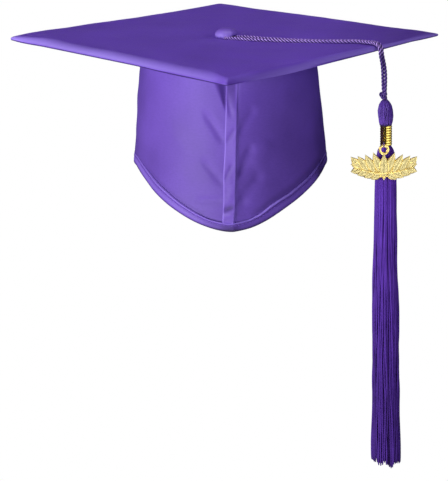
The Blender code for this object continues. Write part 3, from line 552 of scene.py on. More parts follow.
def board_rings(thick):
    """Rings of the cover from the button's hole, over the rim and under it, moved inwards by thick."""
    rows, uvs, wears = [], [], []

    def lay(p, z, at, painted_light_and_tone_level):
        rows.append(np.column_stack([p, z]))
        uvs.append(at)
        # positive marks give the rim a painted highlight, negative ones a painted shade line
        wears.append(RIM_PAINTED_HIGHLIGHT * np.maximum(painted_light_and_tone_level, 0.0) + RIM_PAINTED_SHADE * np.minimum(painted_light_and_tone_level, 0.0))

    hole = np.stack([0.0021 * np.cos(LOOK), 0.0021 * np.sin(LOOK)], 1)
    inner = OUTER + (ring(ROLL_H) - OUTER) * ((1 + (WIDE - 1) * (1 - 0.75 * BROAD)) * (1 + 1.4 * BROAD - 0.42 * NARROW))[:, None]
    for s in np.concatenate([np.linspace(0, 0.17, 20), np.linspace(0.195, 1, 36)]):
        p = hole * (1 - s) + inner * s
        # the top is painted darker, as shade, towards the right corner
        lay(p, top_height(p[:, 0], p[:, 1]) - thick, p, -0.16 * ease((p[:, 0] - 0.095) / 0.055))
    out, reach = unit(OUTER - inner), 0.0
    low = low_height(OUTER[:, 0], OUTER[:, 1])
    room = top_height(OUTER[:, 0], OUTER[:, 1]) - low
    lower = np.minimum(0.0005, 0.20 * room)
    roll = np.minimum(ROLL_V + HEAVE, room - lower - np.minimum(0.0008, 0.25 * room))
    for a in np.linspace(0, math.pi / 2, 15)[1:]:
        p = OUTER + (inner - OUTER) * (1 - math.sin(a)) + (ring(thick) - OUTER) * math.sin(a)
        reach += (ROLL_H + ROLL_V) / 2 * math.pi / 2 / 14
        sink = (1 - BROAD) * (1 - math.cos(a)) + BROAD * (0.80 * math.sin(a) ** 2.3 + 0.20 * (1 - math.cos(a)))
        # painted highlight on the roll, broad on the left front, taken down at the front corner
        lay(p, top_height(p[:, 0], p[:, 1]) - roll * sink - thick * math.cos(a), inner + out * reach, (1 - BROAD) * ((1 - NEAR) * math.sin(a) ** 1.3 + NEAR * math.sin(a) ** 4) + BROAD * (1.12 * math.sin(a) ** 0.85 - 0.62 * float(ease(np.array((a - 1.05) / 0.52)))) - CORNER * (1.1 * math.sin(a) ** 4))
    start = rows[-1][:, 2]
    for s in (0.25, 0.5, 0.75, 1.0):
        reach += 0.0004
        # below the roll: painted highlight, then a painted shade line at the lower edge, paler on the right front
        lay(ring(thick + 0.00018 * s), start + (low + lower - start) * s, inner + out * reach, {0.25: 0.7, 0.5: 0.0, 0.75: -0.6, 1.0: -0.9}[s] - BROAD * {0.25: 0.6, 0.5: 0.5, 0.75: 0.25, 1.0: 0.0}[s] + NEAR * {0.25: 0.5, 0.5: 1.2, 0.75: 1.9, 1.0: 2.2}[s])
    for a in np.linspace(0, math.pi / 2, 7)[1:]:
        reach += 0.0003
        p = ring(0.00018) + (ring(0.00018 + 0.0011) - ring(0.00018)) * ((lower - (lower - thick) * math.cos(a)) / 0.0011)[:, None]
        # painted shade under the rim, paler on the right front
        lay(p, low + lower - (lower - thick) * math.sin(a), inner + out * reach, -0.9 + 2.0 * NEAR)
    for inset in (0.0026, 0.0045, 0.0070):
        p = ring(inset)
        reach += 0.0022
        lay(p, low_height(p[:, 0], p[:, 1]) + thick, inner + out * reach, 0.0)
    return rows, uvs, wears


skin = Skin()
o_rows, o_uv, o_wear = board_rings(0.0)
i_rows, i_uv, i_wear = board_rings(0.0006)
P = np.array(o_rows + i_rows[::-1])
skin.grid(P, np.array(o_uv + i_uv[::-1]), around=True, across=True, wear=np.array(o_wear + i_wear[::-1]))
board_cover = put(skin.make("board_cover_cloth", [M_BOARD]), "cap", "board_cloth", "board_top_cover")


def warped_plate(name, mats, half, z_low, z_high, edge, slot, node, drop_low=1.0, drop_high=1.0, lumps=0.0, dips=0.0):
    """Flat piece of the board with softened edges, bowed as the board is."""
    rows = []

    def lay(p, z, share, dip=0.0):
        x, y = p[:, 0], p[:, 1]
        bump = lumps * ripple(x, y, 0.022, 31) if lumps else 0.0
        rows.append(np.column_stack([p, z + warp(x, y) + share * drawn_up(x, y) + bump + dip * dimple(x, y)]))

    inset = BOARD_HALF - half
    hole = np.stack([0.0021 * np.cos(LOOK), 0.0021 * np.sin(LOOK)], 1)
    edge_out = ring(inset + edge)
    steps = np.concatenate([np.linspace(0, 0.17, 12), np.linspace(0.21, 1, 18)])
    for s in steps:
        lay(hole * (1 - s) + edge_out * s, z_high, drop_high, dips)
    for a in np.linspace(0, math.pi, 9)[1:-1]:
        mid, tall = (z_low + z_high) / 2, (z_high - z_low) / 2
        lay(ring(inset + edge * (1 - math.sin(a))), mid + tall * math.cos(a), drop_high if math.cos(a) > 0 else drop_low)
    for s in steps[::-1]:
        lay(hole * (1 - s) + edge_out * s, z_low, drop_low)
    P = np.array(rows)
    sk = Skin()
    sk.grid(P, P[:, :, :2], around=True, across=True)
    ob = sk.make(name, mats)
    return put(ob, "cap", slot, node)


under_cloth = warped_plate("board_under_cloth", [M_BOARD], BOARD_HALF - 0.0026, 0.0944, 0.0949, 0.0006, "board_cloth",
                           "board_under_cover", 1.0, 1.0)
core = warped_plate("board_core_card", [M_CARD], BOARD_HALF - 0.0020, 0.0955, 0.0972, 0.0003, "card", "board_core", 1.0, 0.45)
padding = warped_plate("board_wadding", [M_WADDING], BOARD_HALF - 0.0066, 0.0975, 0.0994, 0.0010, "wadding", "board_padding",
                       0.5, -0.1, 0.00012, 0.95)


def stitch_row(name, path, out, pitch, length, radius, mat, body, sink=0.35):
    """A row of small stitches lying on a surface: path and outward directions at even steps."""
    s = along(path)
    count = int(s[-1] / pitch)
    sk = Skin()
    for k in range(count):
        at = np.linspace(k * pitch, k * pitch + length, 6)
        p = np.stack([np.interp(at, s, path[:, c]) for c in range(3)], 1)
        n = unit(np.stack([np.interp(at, s, out[:, c]) for c in range(3)], 1))
        lift = radius * (1.0 - sink) * np.array((-1.2, 0.6, 1.0, 1.0, 0.6, -1.2))
        tube(sk, p + n * lift[:, None], radius * np.array((0.6, 0.95, 1.0, 1.0, 0.95, 0.6)), 6)
    ob = sk.make(name, [mat])
    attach(ob, body)
    return ob


edge_line = ring(0.0056)
edge_line = np.concatenate([edge_line, edge_line[:1]])
path = np.column_stack([edge_line, 0.0944 + warp(edge_line[:, 0], edge_line[:, 1]) + drawn_up(edge_line[:, 0], edge_line[:, 1])])
under_stitch = stitch_row("board_under_stitches", path, np.tile((0.0, 0.0, -1.0), (len(path), 1)), 0.0042, 0.0031, 0.00022, M_STITCH,
                          "cap")


# ---------------------------------------------------------------- crown
def hem_depth(phi):
    phi = (phi + 180.0) % 360.0 - 180.0
    a = np.sqrt(phi * phi + 9.0) - 3.0
    front = 0.5 * np.cos(np.radians(np.minimum(a, 78.0) * 90.0 / 78.0)) ** 2 + 0.5 * np.maximum(0.0, 1.0 - a / 72.0)
    back = np.sin(np.radians(np.maximum(0.0, np.abs(phi) - 100.0) * 90.0 / 80.0)) ** 2
    return HEM_SIDE + (HEM_FRONT - HEM_SIDE) * front + (HEM_BACK - HEM_SIDE) * back


ROUND = np.arange(-180.0, 181.0)
RAISE = np.interp(ROUND, (-100, -84, -73, -61, -46, -34, -21, -8, 4, 10, 18, 25, 31, 37, 49, 60, 70, 84, 100),
                  (0.0005, 0.0018, 0.0024, 0.0018, 0.0015, 0.0011, 0.0005, 0.0004, 0.0010, 0.0003, 0.0013, 0.0025, 0.0030, 0.0029, 0.0021,
                   0.0018, 0.0016, 0.0014, 0.0005))
for _ in range(24):
    RAISE[1:-1] = 0.25 * RAISE[:-2] + 0.5 * RAISE[1:-1] + 0.25 * RAISE[2:]


def hem_seen(phi):
    """The hem's cloth is drawn up a little from the plain outline, more on the right."""
    phi = (phi + 180.0) % 360.0 - 180.0
    return hem_depth(phi) - np.interp(phi, ROUND, RAISE)


def tall(phi):
    """The binding keeps its width where the hem slopes, so it stands higher there."""
    phi = (phi + 180.0) % 360.0 - 180.0
    return np.interp(phi, (-95.0, -62.0, -47.0, -39.0, -31.7, -25.0, -18.5, -12.0, 9.0, 15.6, 22.0, 28.0, 35.0, 43.0, 52.0, 62.0, 95.0),
                     (1.0, 1.33, 1.40, 1.40, 1.30, 1.20, 1.10, 1.0, 1.0, 1.14, 1.40, 1.40, 1.30, 1.40, 1.42, 1.34, 1.0))


def crease(x, h, p0, p1, width, amount):
    """Soft fold along a line on the front of the crown, in millimetres across and down."""
    p0, p1 = np.array(p0) / 1000, np.array(p1) / 1000
    d = p1 - p0
    long = np.hypot(*d)
    d = d / long
    t = ((x - p0[0]) * d[0] + (h - p0[1]) * d[1]) / long
    off = (x - p0[0]) * -d[1] + (h - p0[1]) * d[0]
    return amount / 1000 * np.exp(-(off / (width / 1000)) ** 2) * ease((t + 0.35) / 0.5) * ease((1.35 - t) / 0.5)


def seam_left(h):
    """Left edge of the front strip, across, at a depth below the board's top."""
    return np.interp(h, (0.0, 0.024, 0.045, 0.067, 0.089, 0.118, 0.130), (-0.0009, -0.0011, -0.0019, -0.0025, -0.0036, -0.0042, -0.0047))


def seam_right(h):
    return np.interp(h, (0.0, 0.024, 0.067, 0.118, 0.130), (0.0078, 0.0076, 0.0065, 0.0054, 0.0042))


PROW, PROW_L = 0.0042, 0.0200


def prow(x, h):
    """The front is drawn to a blunt edge along the strip's right side."""
    return PROW * np.exp(-np.abs(x - seam_right(h) + 0.0008) / PROW_L)


def crown(phi, h, off):
    """Point of the crown's cloth, off outwards. phi in degrees from the front, h below the board's top."""
    p = np.radians(phi)
    a = CROWN_A + CROWN_A_GAIN * h / CROWN_H
    b = CROWN_B + CROWN_B_GAIN * h / CROWN_H
    x, y = CROWN_X + a * np.sin(p), -b * np.cos(p)
    n = unit(np.stack([b * np.sin(p), -a * np.cos(p)], -1))
    wrapped = (phi + 180.0) % 360.0 - 180.0
    side = np.abs(wrapped)
    front = ease((75.0 - side) / 25.0)
    d = prow(x, h) * front
    d = d + np.interp(h, (0.0, 0.027, 0.046, 0.055, 0.064, 0.073, 0.079, 0.100), (0.0011, 0.0009, 0.0008, 0.0003, -0.0001, -0.0006, -0.0011, -0.0013)) \
        * ease((-wrapped - 28.0) / 30.0) * ease((150.0 + wrapped) / 40.0)
    d = d + 0.00030 * ripple(p * 0.08, h, 0.060, 41) + 0.00016 * ripple(p * 0.08, h, 0.026, 42)
    d = d + front * (crease(x, h, (-16.0, 46.5), (-4.6, 64.0), 3.1, -1.35) + crease(x, h, (-17.5, 83.0), (-5.4, 97.5), 3.2, -0.95)
                     + crease(x, h, (-22.0, 112.8), (-6.4, 111.2), 2.4, -0.80) + crease(x, h, (18.5, 43.5), (8.0, 57.0), 3.6, -1.10)
                     + crease(x, h, (17.0, 73.0), (7.6, 89.4), 3.5, -1.75) + crease(x, h, (23.0, 95.0), (9.2, 110.4), 4.2, -1.45)
                     + crease(x, h, (30.0, 70.0), (22.0, 84.0), 6.0, 0.60) + crease(x, h, (-44.0, 60.0), (-30.0, 78.0), 7.0, 0.55))
    # a pocket beside the seam, open at the top, where the left panel runs in under the strip
    t = np.clip((0.0425 - h) / 0.0185, 0.0, 2.0)
    wide = np.maximum(0.0084 * t, 1e-5)
    into = ease((x - seam_left(h) + wide) / wide) * (wrapped < 0) * (side < 40.0)
    fade = ease((CROWN_X + 0.0002 - x) / 0.0030)
    d = d - 0.0046 * t * np.minimum(into, 1.0) * np.where(x > seam_left(h) + 0.001, fade, 1.0) * (t > 0)
    # gathers above the elastic at the back
    behind = ease((side - 118.0) / 14.0)
    low = hem_seen(phi) - h
    pull = np.exp(-np.maximum(low - 0.008, 0.0) / 0.020) * behind
    d = d + pull * (0.0011 * np.sin(np.radians(wrapped) * 46.0 + 2.0 * np.sin(np.radians(wrapped) * 9.0)) - 0.0006)
    d = d + off
    return np.stack([x + n[..., 0] * d, y + n[..., 1] * d, np.broadcast_to(TOP_Z - h, x.shape)], -1)


def crown_uv(phi, h):
    return np.stack([np.radians(phi) * 0.0825, h], -1)


FINE = np.concatenate([np.arange(0.0, 24.0, 0.40), np.arange(24.0, 120.0, 1.5), np.arange(120.0, 180.01, 0.75)])
COARSE = np.concatenate([np.arange(0.0, 30.0, 1.0), np.arange(30.0, 120.0, 3.0), np.arange(120.0, 180.01, 1.5)])


def crown_shell(name, phis, h_top, h_low, steps, off_out, off_in, mats, slot, node):
    """Closed piece of cloth on the crown."""
    h0, h1 = np.broadcast_to(h_top, phis.shape), np.broadcast_to(h_low, phis.shape)
    t = np.linspace(0, 1, steps + 1)
    H = h0[:, None] + (h1 - h0)[:, None] * t[None, :]
    F = np.broadcast_to(phis[:, None], H.shape)
    outer, inner = crown(F, H, off_out), crown(F, H, off_in)
    loop = np.concatenate([outer, inner[:, ::-1]], 1)
    uv = crown_uv(F, H)
    uvs = np.concatenate([uv, uv[:, ::-1]], 1)
    sk = Skin()
    side = (F + 180.0) % 360.0 - 180.0
    # painted light on the panels: darker towards the hem and the left edge, slightly paler on the right's upper middle,
    # a painted highlight under the board on the right front, a painted shade line just above the hem, and painted
    # highlights beside the strip's right edge and on a fold low on the right
    panel_painted_light = -0.10 * ease((H - 0.058) / 0.035) - 0.13 * ease((-side - 60.0) / 18.0) + 0.05 * ease((side - 14.0) / 10.0) * ease((0.075 - H) / 0.030) \
        + 0.24 * (side > 0) * ease((44.0 - side) / 26.0) * ease((0.032 - H) / 0.018)
    gap = hem_seen(F) - H - 0.0070 * tall(F)
    panel_painted_light = panel_painted_light - 0.34 * ease(gap / 0.0012) * (1 - ease((gap - 0.0016) / 0.0065)) * ease((side - 8.0) / 8.0) * ease((75.0 - side) / 25.0) \
        - 0.20 * ease(gap / 0.0010) * (1 - ease((gap - 0.0010) / 0.0030)) * ease((-side - 10.0) / 8.0) * ease((75.0 + side) / 25.0)
    across = outer[..., 0] - seam_right(H)
    panel_painted_light = panel_painted_light + (side > 0) * (side < 40.0) * (0.34 * np.exp(-(np.maximum(across, 0.0) / 0.0022) ** 2)
                                                + 0.28 * np.exp(-((outer[..., 0] - 0.0125) / 0.0055) ** 2 - ((H - 0.1125) / 0.0038) ** 2))
    first = sk.grid(loop, uvs, across=True, wear=np.concatenate([panel_painted_light, np.zeros_like(panel_painted_light)], 1))
    n = loop.shape[1]
    for row, flip in ((0, True), (len(phis) - 1, False)):
        base = first + row * n
        for k in range(steps):
            quad = [base + k, base + k + 1, base + n - 2 - k, base + n - 1 - k]
            sk.cap(quad[::-1] if flip else quad, uv[row, k])
    ob = sk.make(name, mats)
    return put(ob, "cap", slot, node)


SEAM_DEG, BACK_SEAM_DEG = 0.06, 0.004
TOP_H = 0.0060
panels, linings = {}, {}
for sign, word in ((-1.0, "left"), (1.0, "right")):
    phis = sign * np.maximum(np.minimum(FINE, 180.0 - BACK_SEAM_DEG), SEAM_DEG)
    panels[word] = crown_shell("crown_%s_cloth" % word, phis, TOP_H, hem_seen(phis), 74, 0.0, -PANEL_T, [M_CROWN], "crown_cloth",
                               "crown_%s_panel" % word)
    phis = sign * np.maximum(np.minimum(COARSE, 180.0 - SEAM_DEG), SEAM_DEG)
    linings[word] = crown_shell("crown_%s_lining_cloth" % word, phis, TOP_H, hem_seen(phis) - 0.0006, 34, -PANEL_T - GAP,
                                -PANEL_T - GAP - LINING_T, [M_LINING], "lining_cloth", "crown_%s_lining" % word)

# front strip: a pleat with a crisp folded left edge that runs out softly to the right
s_across = np.array([0.0, 0.02, 0.05, 0.09, 0.14, 0.20, 0.28, 0.38, 0.50, 0.62, 0.74, 0.84, 0.92, 0.97, 1.0])
lift_across = np.array([0.25, 0.75, 1.02, 1.10, 1.10, 1.08, 1.08, 1.10, 1.12, 1.14, 1.14, 1.08, 0.92, 0.56, 0.12]) / 1000
lean_across = np.array([0.0, 0.0, 0.0, 0.0, 0.0, 0.05, 0.14, 0.26, 0.42, 0.58, 0.72, 0.82, 0.80, 0.50, 0.0]) / 1000
fold_h = np.linspace(0.0062, hem_seen(np.array(0.0)) - BINDING_H - 0.0002, 120)
H, S = np.meshgrid(fold_h, s_across, indexing="ij")
X = seam_left(H) + (seam_right(H) - seam_left(H)) * S
X = X + 0.00022 * np.sin(H * 190.0) * (1 - S) * 0.6
PHI = np.degrees(np.arcsin(np.clip((X - CROWN_X) / (CROWN_A + CROWN_A_GAIN * H / CROWN_H), -1, 1)))
soft = np.sin(np.pi * np.clip(S, 0, 1)) ** 0.6
lean = np.interp(H, (0.0, 0.024, 0.034, 0.052, 0.130), (-1.0, -0.9, -0.3, 0.9, 0.8))
lift = lift_across + lean_across * lean + 0.0010 * np.maximum(-lean, 0.0) * (1 - S) + 0.00016 * ripple(X * 1.6, H, 0.014, 51) * soft
lift = lift + soft * (crease(X, H, (6.2, 54.5), (-0.4, 64.6), 1.7, -0.95) + crease(X, H, (2.4, 84.4), (-1.8, 93.6), 1.3, -0.80)
                      + crease(X, H, (-4.2, 118.9), (7.6, 113.5), 1.6, -1.25) + crease(X, H, (-1.0, 30.0), (2.2, 44.0), 1.6, -0.85)
                      + crease(X, H, (5.0, 100.0), (-0.5, 112.0), 2.2, 0.50) + crease(X, H, (-3.0, 123.0), (4.5, 121.0), 1.6, 0.60))


def strip_base(phi, h):
    """The crown's surface under the strip, without the pocket."""
    p = np.radians(phi)
    a = CROWN_A + CROWN_A_GAIN * h / CROWN_H
    b = CROWN_B + CROWN_B_GAIN * h / CROWN_H
    x, y = CROWN_X + a * np.sin(p), -b * np.cos(p)
    n = unit(np.stack([b * np.sin(p), -a * np.cos(p)], -1))
    d = prow(x, h) + 0.00030 * ripple(p * 0.08, h, 0.060, 41) + 0.00016 * ripple(p * 0.08, h, 0.026, 42)
    return x, y, n, d


# painted shade along the strip's creases, with a little painted light on one fold
strip_fold_painted_light = 1000 * soft * (crease(X, H, (-4.2, 118.9), (7.6, 114.5), 2.3, -0.66) + crease(X, H, (6.2, 54.5), (-0.4, 64.6), 1.5, -0.25)
                       + crease(X, H, (2.4, 84.4), (-1.8, 93.6), 1.2, -0.22) + crease(X, H, (-3.6, 122.6), (4.5, 118.6), 1.6, 0.30))
bx, by, bn, bd = strip_base(PHI, H)
top_side = np.stack([bx + bn[..., 0] * (bd + lift), by + bn[..., 1] * (bd + lift), TOP_Z - H], -1)
under = np.minimum(lift - 0.0004, 0.00005 + 0.0 * lift)
low_side = np.stack([bx + bn[..., 0] * (bd + under - 0.0002), by + bn[..., 1] * (bd + under - 0.0002), TOP_Z - H], -1)
loop = np.concatenate([top_side, low_side[:, ::-1]], 1)
uv = np.stack([X, H], -1)
skin = Skin()
# painted light on the strip: the crease marks, painted highlights along its right side, its folded left edge and
# faintly in its middle, and painted shade at its top under the board
first = skin.grid(loop, np.concatenate([uv, uv[:, ::-1]], 1), across=True,
                  wear=np.concatenate([strip_fold_painted_light + (0.30 + 0.65 * ease((0.040 - H) / 0.014)) * ease((S - 0.70) / 0.20) + 0.62 * (1 - 0.85 * ease((0.042 - H) / 0.014)) * np.exp(-((S - 0.06) / 0.06) ** 2) + 0.10 * np.exp(-((H - 0.072) / 0.018) ** 2) - 0.40 * ease((0.048 - H) / 0.022) * (1 - np.exp(-((S - 0.06) / 0.06) ** 2)), np.zeros_like(S)], 1))
n = loop.shape[1]
for row, flip in ((0, True), (len(fold_h) - 1, False)):
    base = first + row * n
    for k in range(len(s_across) - 1):
        quad = [base + k, base + k + 1, base + n - 2 - k, base + n - 1 - k]
        skin.cap(quad[::-1] if flip else quad, uv[row, k])
strip = put(skin.make("front_seam_strip", [M_CROWN]), "cap", "crown_cloth", "front_seam_fold")

# hem: a bound edge, raised from the panels, with its row of stitches
hem_phi = np.concatenate([np.arange(-180.0, -120.0, 0.75), np.arange(-120.0, -24.0, 1.5), np.arange(-24.0, 24.0, 0.5),
                          np.arange(24.0, 120.0, 1.5), np.arange(120.0, 180.0, 0.75)])
stack = PANEL_T + GAP + LINING_T
section = np.array([(0.02, -6.95), (0.30, -6.75), (0.70, -6.45), (1.02, -6.15), (1.18, -5.85), (1.10, -5.5), (0.78, -5.1), (0.58, -4.7), (0.60, -4.2),
                    (0.78, -3.4), (0.88, -2.4), (0.80, -1.4), (0.60, -0.55), (0.35, 0.0), (0.0, 0.34), (-0.6, 0.42), (-1.3, 0.36), (-1.9, 0.15), (-2.2, -0.3),
                    (-2.30, -1.5), (-2.28, -4.0), (-2.24, -6.2), (-2.05, -6.45), (-1.75, -6.35), (-1.68, -4.0), (-1.68, -0.4), (-0.8, 0.02), (0.012, -0.4),
                    (0.012, -3.0)]) / 1000


def flush(phi):
    """The raised hem lies flat at the sides."""
    return 1 + 0.10 * ease((58.0 - np.abs(phi)) / 22.0) - 0.88 * ease((np.abs(phi) - 50.0) / 22.0)


F = np.broadcast_to(hem_phi[:, None], (len(hem_phi), len(section)))
D = hem_seen(F) + section[None, :, 1] * np.where(section[None, :, 1] < 0, tall(F), 1.0)
D0 = np.minimum(D, hem_seen(F) - 0.0002)
body_points = crown(F, D0, np.where(section[None, :, 0] > 0, section[None, :, 0] * flush(F), section[None, :, 0]))
body_points[..., 2] = TOP_Z - D
turn = np.concatenate([[0], np.cumsum(np.linalg.norm(np.diff(section, axis=0), axis=1))])
uv = np.stack(np.broadcast_arrays(np.radians(F) * 0.0825, turn[None, :]), -1)
uv = np.concatenate([uv, uv[:1] + (2 * math.pi * 0.0825, 0.0)], 0)
skin = Skin()
# painted light across the hem's section: highlights on its ridge and roll, painted shade in its groove and along its
# lower edge; the left and right sides are marked differently, as the light falls from the left
left_painted_light = np.concatenate([[-0.22, -0.16, 0.0, 0.55, 0.7, 0.3, -0.2, -0.26, 0.18, 0.50, 0.58, 0.38, -0.35, -0.8, -0.9, -0.9], np.zeros(13)])
right_painted_light = np.concatenate([[0.3, 1.0, 1.25, 1.1, 0.2, -0.2, -0.5, -0.3, 0.05, 0.2, 0.2, -0.05, -0.6, -0.9, -0.9, -0.9], np.zeros(13)])
turned = ease((hem_phi + 8.0) / 10.0) * ease((170.0 - hem_phi) / 20.0)
# painted shade: the lower half darkens towards the front; painted highlight: the upper edge is paler along the left
below = np.concatenate([np.zeros(7), [0.3, 0.6, 0.9, 1.0, 1.0, 0.8, 0.3], np.zeros(15)])
above = np.concatenate([[0.40, 0.40, 0.35, 0.10, 0.0, 0.05, 0.12, 0.10], np.zeros(21)])
darker = np.interp(hem_phi, (-60.0, -50.0, -39.0, -25.0, -18.5, -12.5, -8.0, -3.0, 2.0, 6.0, 15.0, 25.0), (0.0, -0.12, -0.22, -0.24, -0.34, -0.62, -0.76, -1.0, -0.90, -0.42, -0.38, 0.0))
paler = ease((-hem_phi - 12.0) / 8.0) * ease((66.0 + hem_phi) / 12.0)
skin.grid(body_points, uv, around=True, across=True, wear=left_painted_light[None, :] + (right_painted_light - left_painted_light)[None, :] * turned[:, None]
          + darker[:, None] * below[None, :] + paler[:, None] * above[None, :])
hem = put(skin.make("hem_binding_cloth", [M_CROWN]), "cap", "crown_cloth", "hem_binding")

fine_phi = np.concatenate([hem_phi, [180.0]])
hem_line = crown(fine_phi, hem_seen(fine_phi) - 0.0045 * tall(fine_phi), 0.00062 * flush(fine_phi))
out = hem_line - crown(fine_phi, hem_seen(fine_phi) - 0.0045 * tall(fine_phi), np.full(fine_phi.shape, -0.002))
hem_stitch = stitch_row("hem_stitches", hem_line, out, 0.0030, 0.0022, 0.00017, M_STITCH, "cap", 0.5)

# elastic in the back of the hem: a gathered ribbed tape
el_phi = np.arange(126.0, 234.01, 0.75)
t = np.linspace(0, 1, 9)
h_low = hem_seen(el_phi) - BINDING_H - GAP
H = (h_low - 0.0062)[:, None] + 0.0062 * t[None, :]
F = np.broadcast_to(el_phi[:, None], H.shape)
wave = 0.00022 * np.sin(np.radians(F) * 110.0) * np.sin(np.pi * t)[None, :]
outer, inner = crown(F, H, -stack - 0.0002 + wave * 0.2), crown(F, H, -stack - 0.0013 + wave)
loop = np.concatenate([outer, inner[:, ::-1]], 1)
uv = crown_uv(F, H)
skin = Skin()
first = skin.grid(loop, np.concatenate([uv, uv[:, ::-1]], 1), across=True)
n = loop.shape[1]
for row, flip in ((0, True), (len(el_phi) - 1, False)):
    base = first + row * n
    for k in range(8):
        quad = [base + k, base + k + 1, base + n - 2 - k, base + n - 1 - k]
        skin.cap(quad[::-1] if flip else quad, uv[row, k])
elastic = put(skin.make("back_elastic_tape", [M_ELASTIC]), "cap", "elastic", "elastic_band")

# lining disc that closes the crown inside, a little slack, gathered at its edge
disc_phi = np.arange(0.0, 360.0, 2.0)
disc_h = TOP_Z - 0.0923
radii = np.concatenate([np.linspace(0.02, 0.9, 22), np.linspace(0.92, 1.0, 7)])
rows = []
for thick in (0.0, 0.0005):
    side = []
    for r in radii:
        edge = crown(disc_phi, np.full(disc_phi.shape, disc_h), np.full(disc_phi.shape, -stack - 0.0004))
        x, y = CROWN_X + (edge[:, 0] - CROWN_X) * r, edge[:, 1] * r
        pucker = 0.0005 * np.sin(np.radians(disc_phi) * 34.0) * ease((r - 0.72) / 0.28)
        sag = -0.0010 * (1 - r * r) + 0.0003 * ripple(x, y, 0.05, 61) * (1 - r)
        side.append(np.column_stack([x, y, 0.0921 + pucker + sag - thick]))
    rows.append(side)
loop = np.array(rows[0] + rows[1][::-1])
skin = Skin()
first = skin.grid(loop, loop[:, :, :2], across=True)
count = len(disc_phi)
skin.cap((np.arange(count) + first)[::-1])
skin.cap(np.arange(count) + first + (len(loop) - 1) * count)
disc = put(skin.make("crown_lining_top_cloth", [M_LINING]), "cap", "lining_cloth", "crown_lining_disc")


# ---------------------------------------------------------------- button
BUTTON_TOP, BUTTON_REST = TOP_Z + 0.0067, TOP_Z - DIMPLE + 0.00005
BUTTON_A = np.linspace(0, 360.0, 96, endpoint=False)


def mouth(a):
    """How far the rim is lifted round the button, so that the cord can leave under its front."""
    a = (a + 180.0) % 360.0 - 180.0
    return ease((a + 112.0) / 60.0) * ease((42.0 - a) / 32.0)


def dome(s, inset, pleat=0.0):
    """Ring of the button: s from 0 at the top to 1 at its widest and 2 at the rim under it."""
    a = np.radians(BUTTON_A)
    rim = BUTTON_REST + 0.00235 * mouth(BUTTON_A)
    wide = np.maximum(BUTTON_REST + 0.0021, rim + 0.0006)
    fold = 1 + pleat * (min(s, 1.0) ** 5 * np.cos(17 * a + 0.8 * np.sin(3 * a)) + 0.5 * max(1 - s, 0.0) * s * np.cos(4 * a + 1.0))
    if s <= 1:
        r, z = math.sin(s * math.pi / 2) ** 0.93, wide + (BUTTON_TOP - inset - wide) * math.cos(s * math.pi / 2) ** 0.95 if s < 1 else wide
    else:
        r, z = 1 - 0.075 * (s - 1) ** 1.6, wide + (rim - wide) * (s - 1)
    r = (BUTTON_R - 0.0001 - inset) * r * fold
    return np.column_stack([r * np.cos(a), r * np.sin(a), np.broadcast_to(z, a.shape)])


def bowl(name, rows, mats, slot, node, painted_light_and_tone_level=None):
    P = np.array(rows)
    sk = Skin()
    run = np.concatenate([[0], np.cumsum(np.linalg.norm(np.diff(P, axis=0), axis=2).mean(1))]) + 0.0003
    a = np.radians(BUTTON_A)
    flat = run[:, None, None] * np.stack([np.cos(a), np.sin(a)], 1)[None]
    first = sk.grid(P, flat, across=True, wear=painted_light_and_tone_level)
    n = len(BUTTON_A)
    sk.cap(np.arange(n) + first)
    sk.cap((np.arange(n) + first + (len(rows) - 1) * n)[::-1])
    return put(sk.make(name, mats), "cap", slot, node)


steps = np.concatenate([np.linspace(0.02, 1.0, 20), np.linspace(1.15, 2.0, 7)])
rows = [dome(s, 0.0, 0.016) for s in steps] + [dome(s, 0.0005) for s in np.concatenate([np.linspace(2.0, 1.2, 5), np.linspace(1.0, 0.02, 16)])]
lit = np.maximum(np.cos(np.radians(BUTTON_A + 125.0)), 0.0) ** 1.5          # where the painted highlight falls: its front left
# painted highlight on the button: a little paler near the rim all round, strongest low on the front left
painted_light_and_tone_level = 0.2 * np.minimum(steps, 1)[:, None] ** 4 + 0.9 * np.exp(-((steps - 1.0) / 0.36) ** 2)[:, None] * lit[None]
painted_light_and_tone_level = np.concatenate([painted_light_and_tone_level, np.zeros((21, len(BUTTON_A)))])
button = bowl("button_cloth", rows, [M_BUTTON], "board_cloth", "button_cover", painted_light_and_tone_level)
steps = np.concatenate([np.linspace(0.03, 1.0, 14), np.linspace(1.2, 1.7, 3)])
rows = [dome(s, 0.00062) for s in steps] + [dome(s, 0.00100) for s in steps[::-1]]
button_shell = bowl("button_shell_steel", rows, [M_STEEL], "steel", "button_shell")
for node in ("button_rivet", "rivet_washer"):
    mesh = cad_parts[node].data
    mesh.materials.clear()
    mesh.materials.append(M_STEEL)


# ---------------------------------------------------------------- cord
def edge_point(perp, at, z):
    p = np.array((BOARD_X, 0.0, 0.0)) + EDGE_N * perp + EDGE_T * at
    return np.array((p[0], p[1], z))


cord_z = TOP_Z + 0.0014
edge_in = edge_point(BOARD_HALF - 0.00105, EDGE_ALONG, cord_z)
leave = math.radians(CORD_LEAVE)
middle = spline([(0.008 * math.cos(leave), 0.008 * math.sin(leave), cord_z), (0.0105, -0.0150, cord_z), (0.0280, -0.0240, cord_z),
                 (0.0496, -0.0312, cord_z), (0.0700, -0.0362, cord_z), (0.0887, -0.0392, cord_z), (0.1030, -0.0410, cord_z),
                 tuple(edge_in - EDGE_N * 0.0050), tuple(edge_in)], 30)
middle = resample(middle, 0.0010)


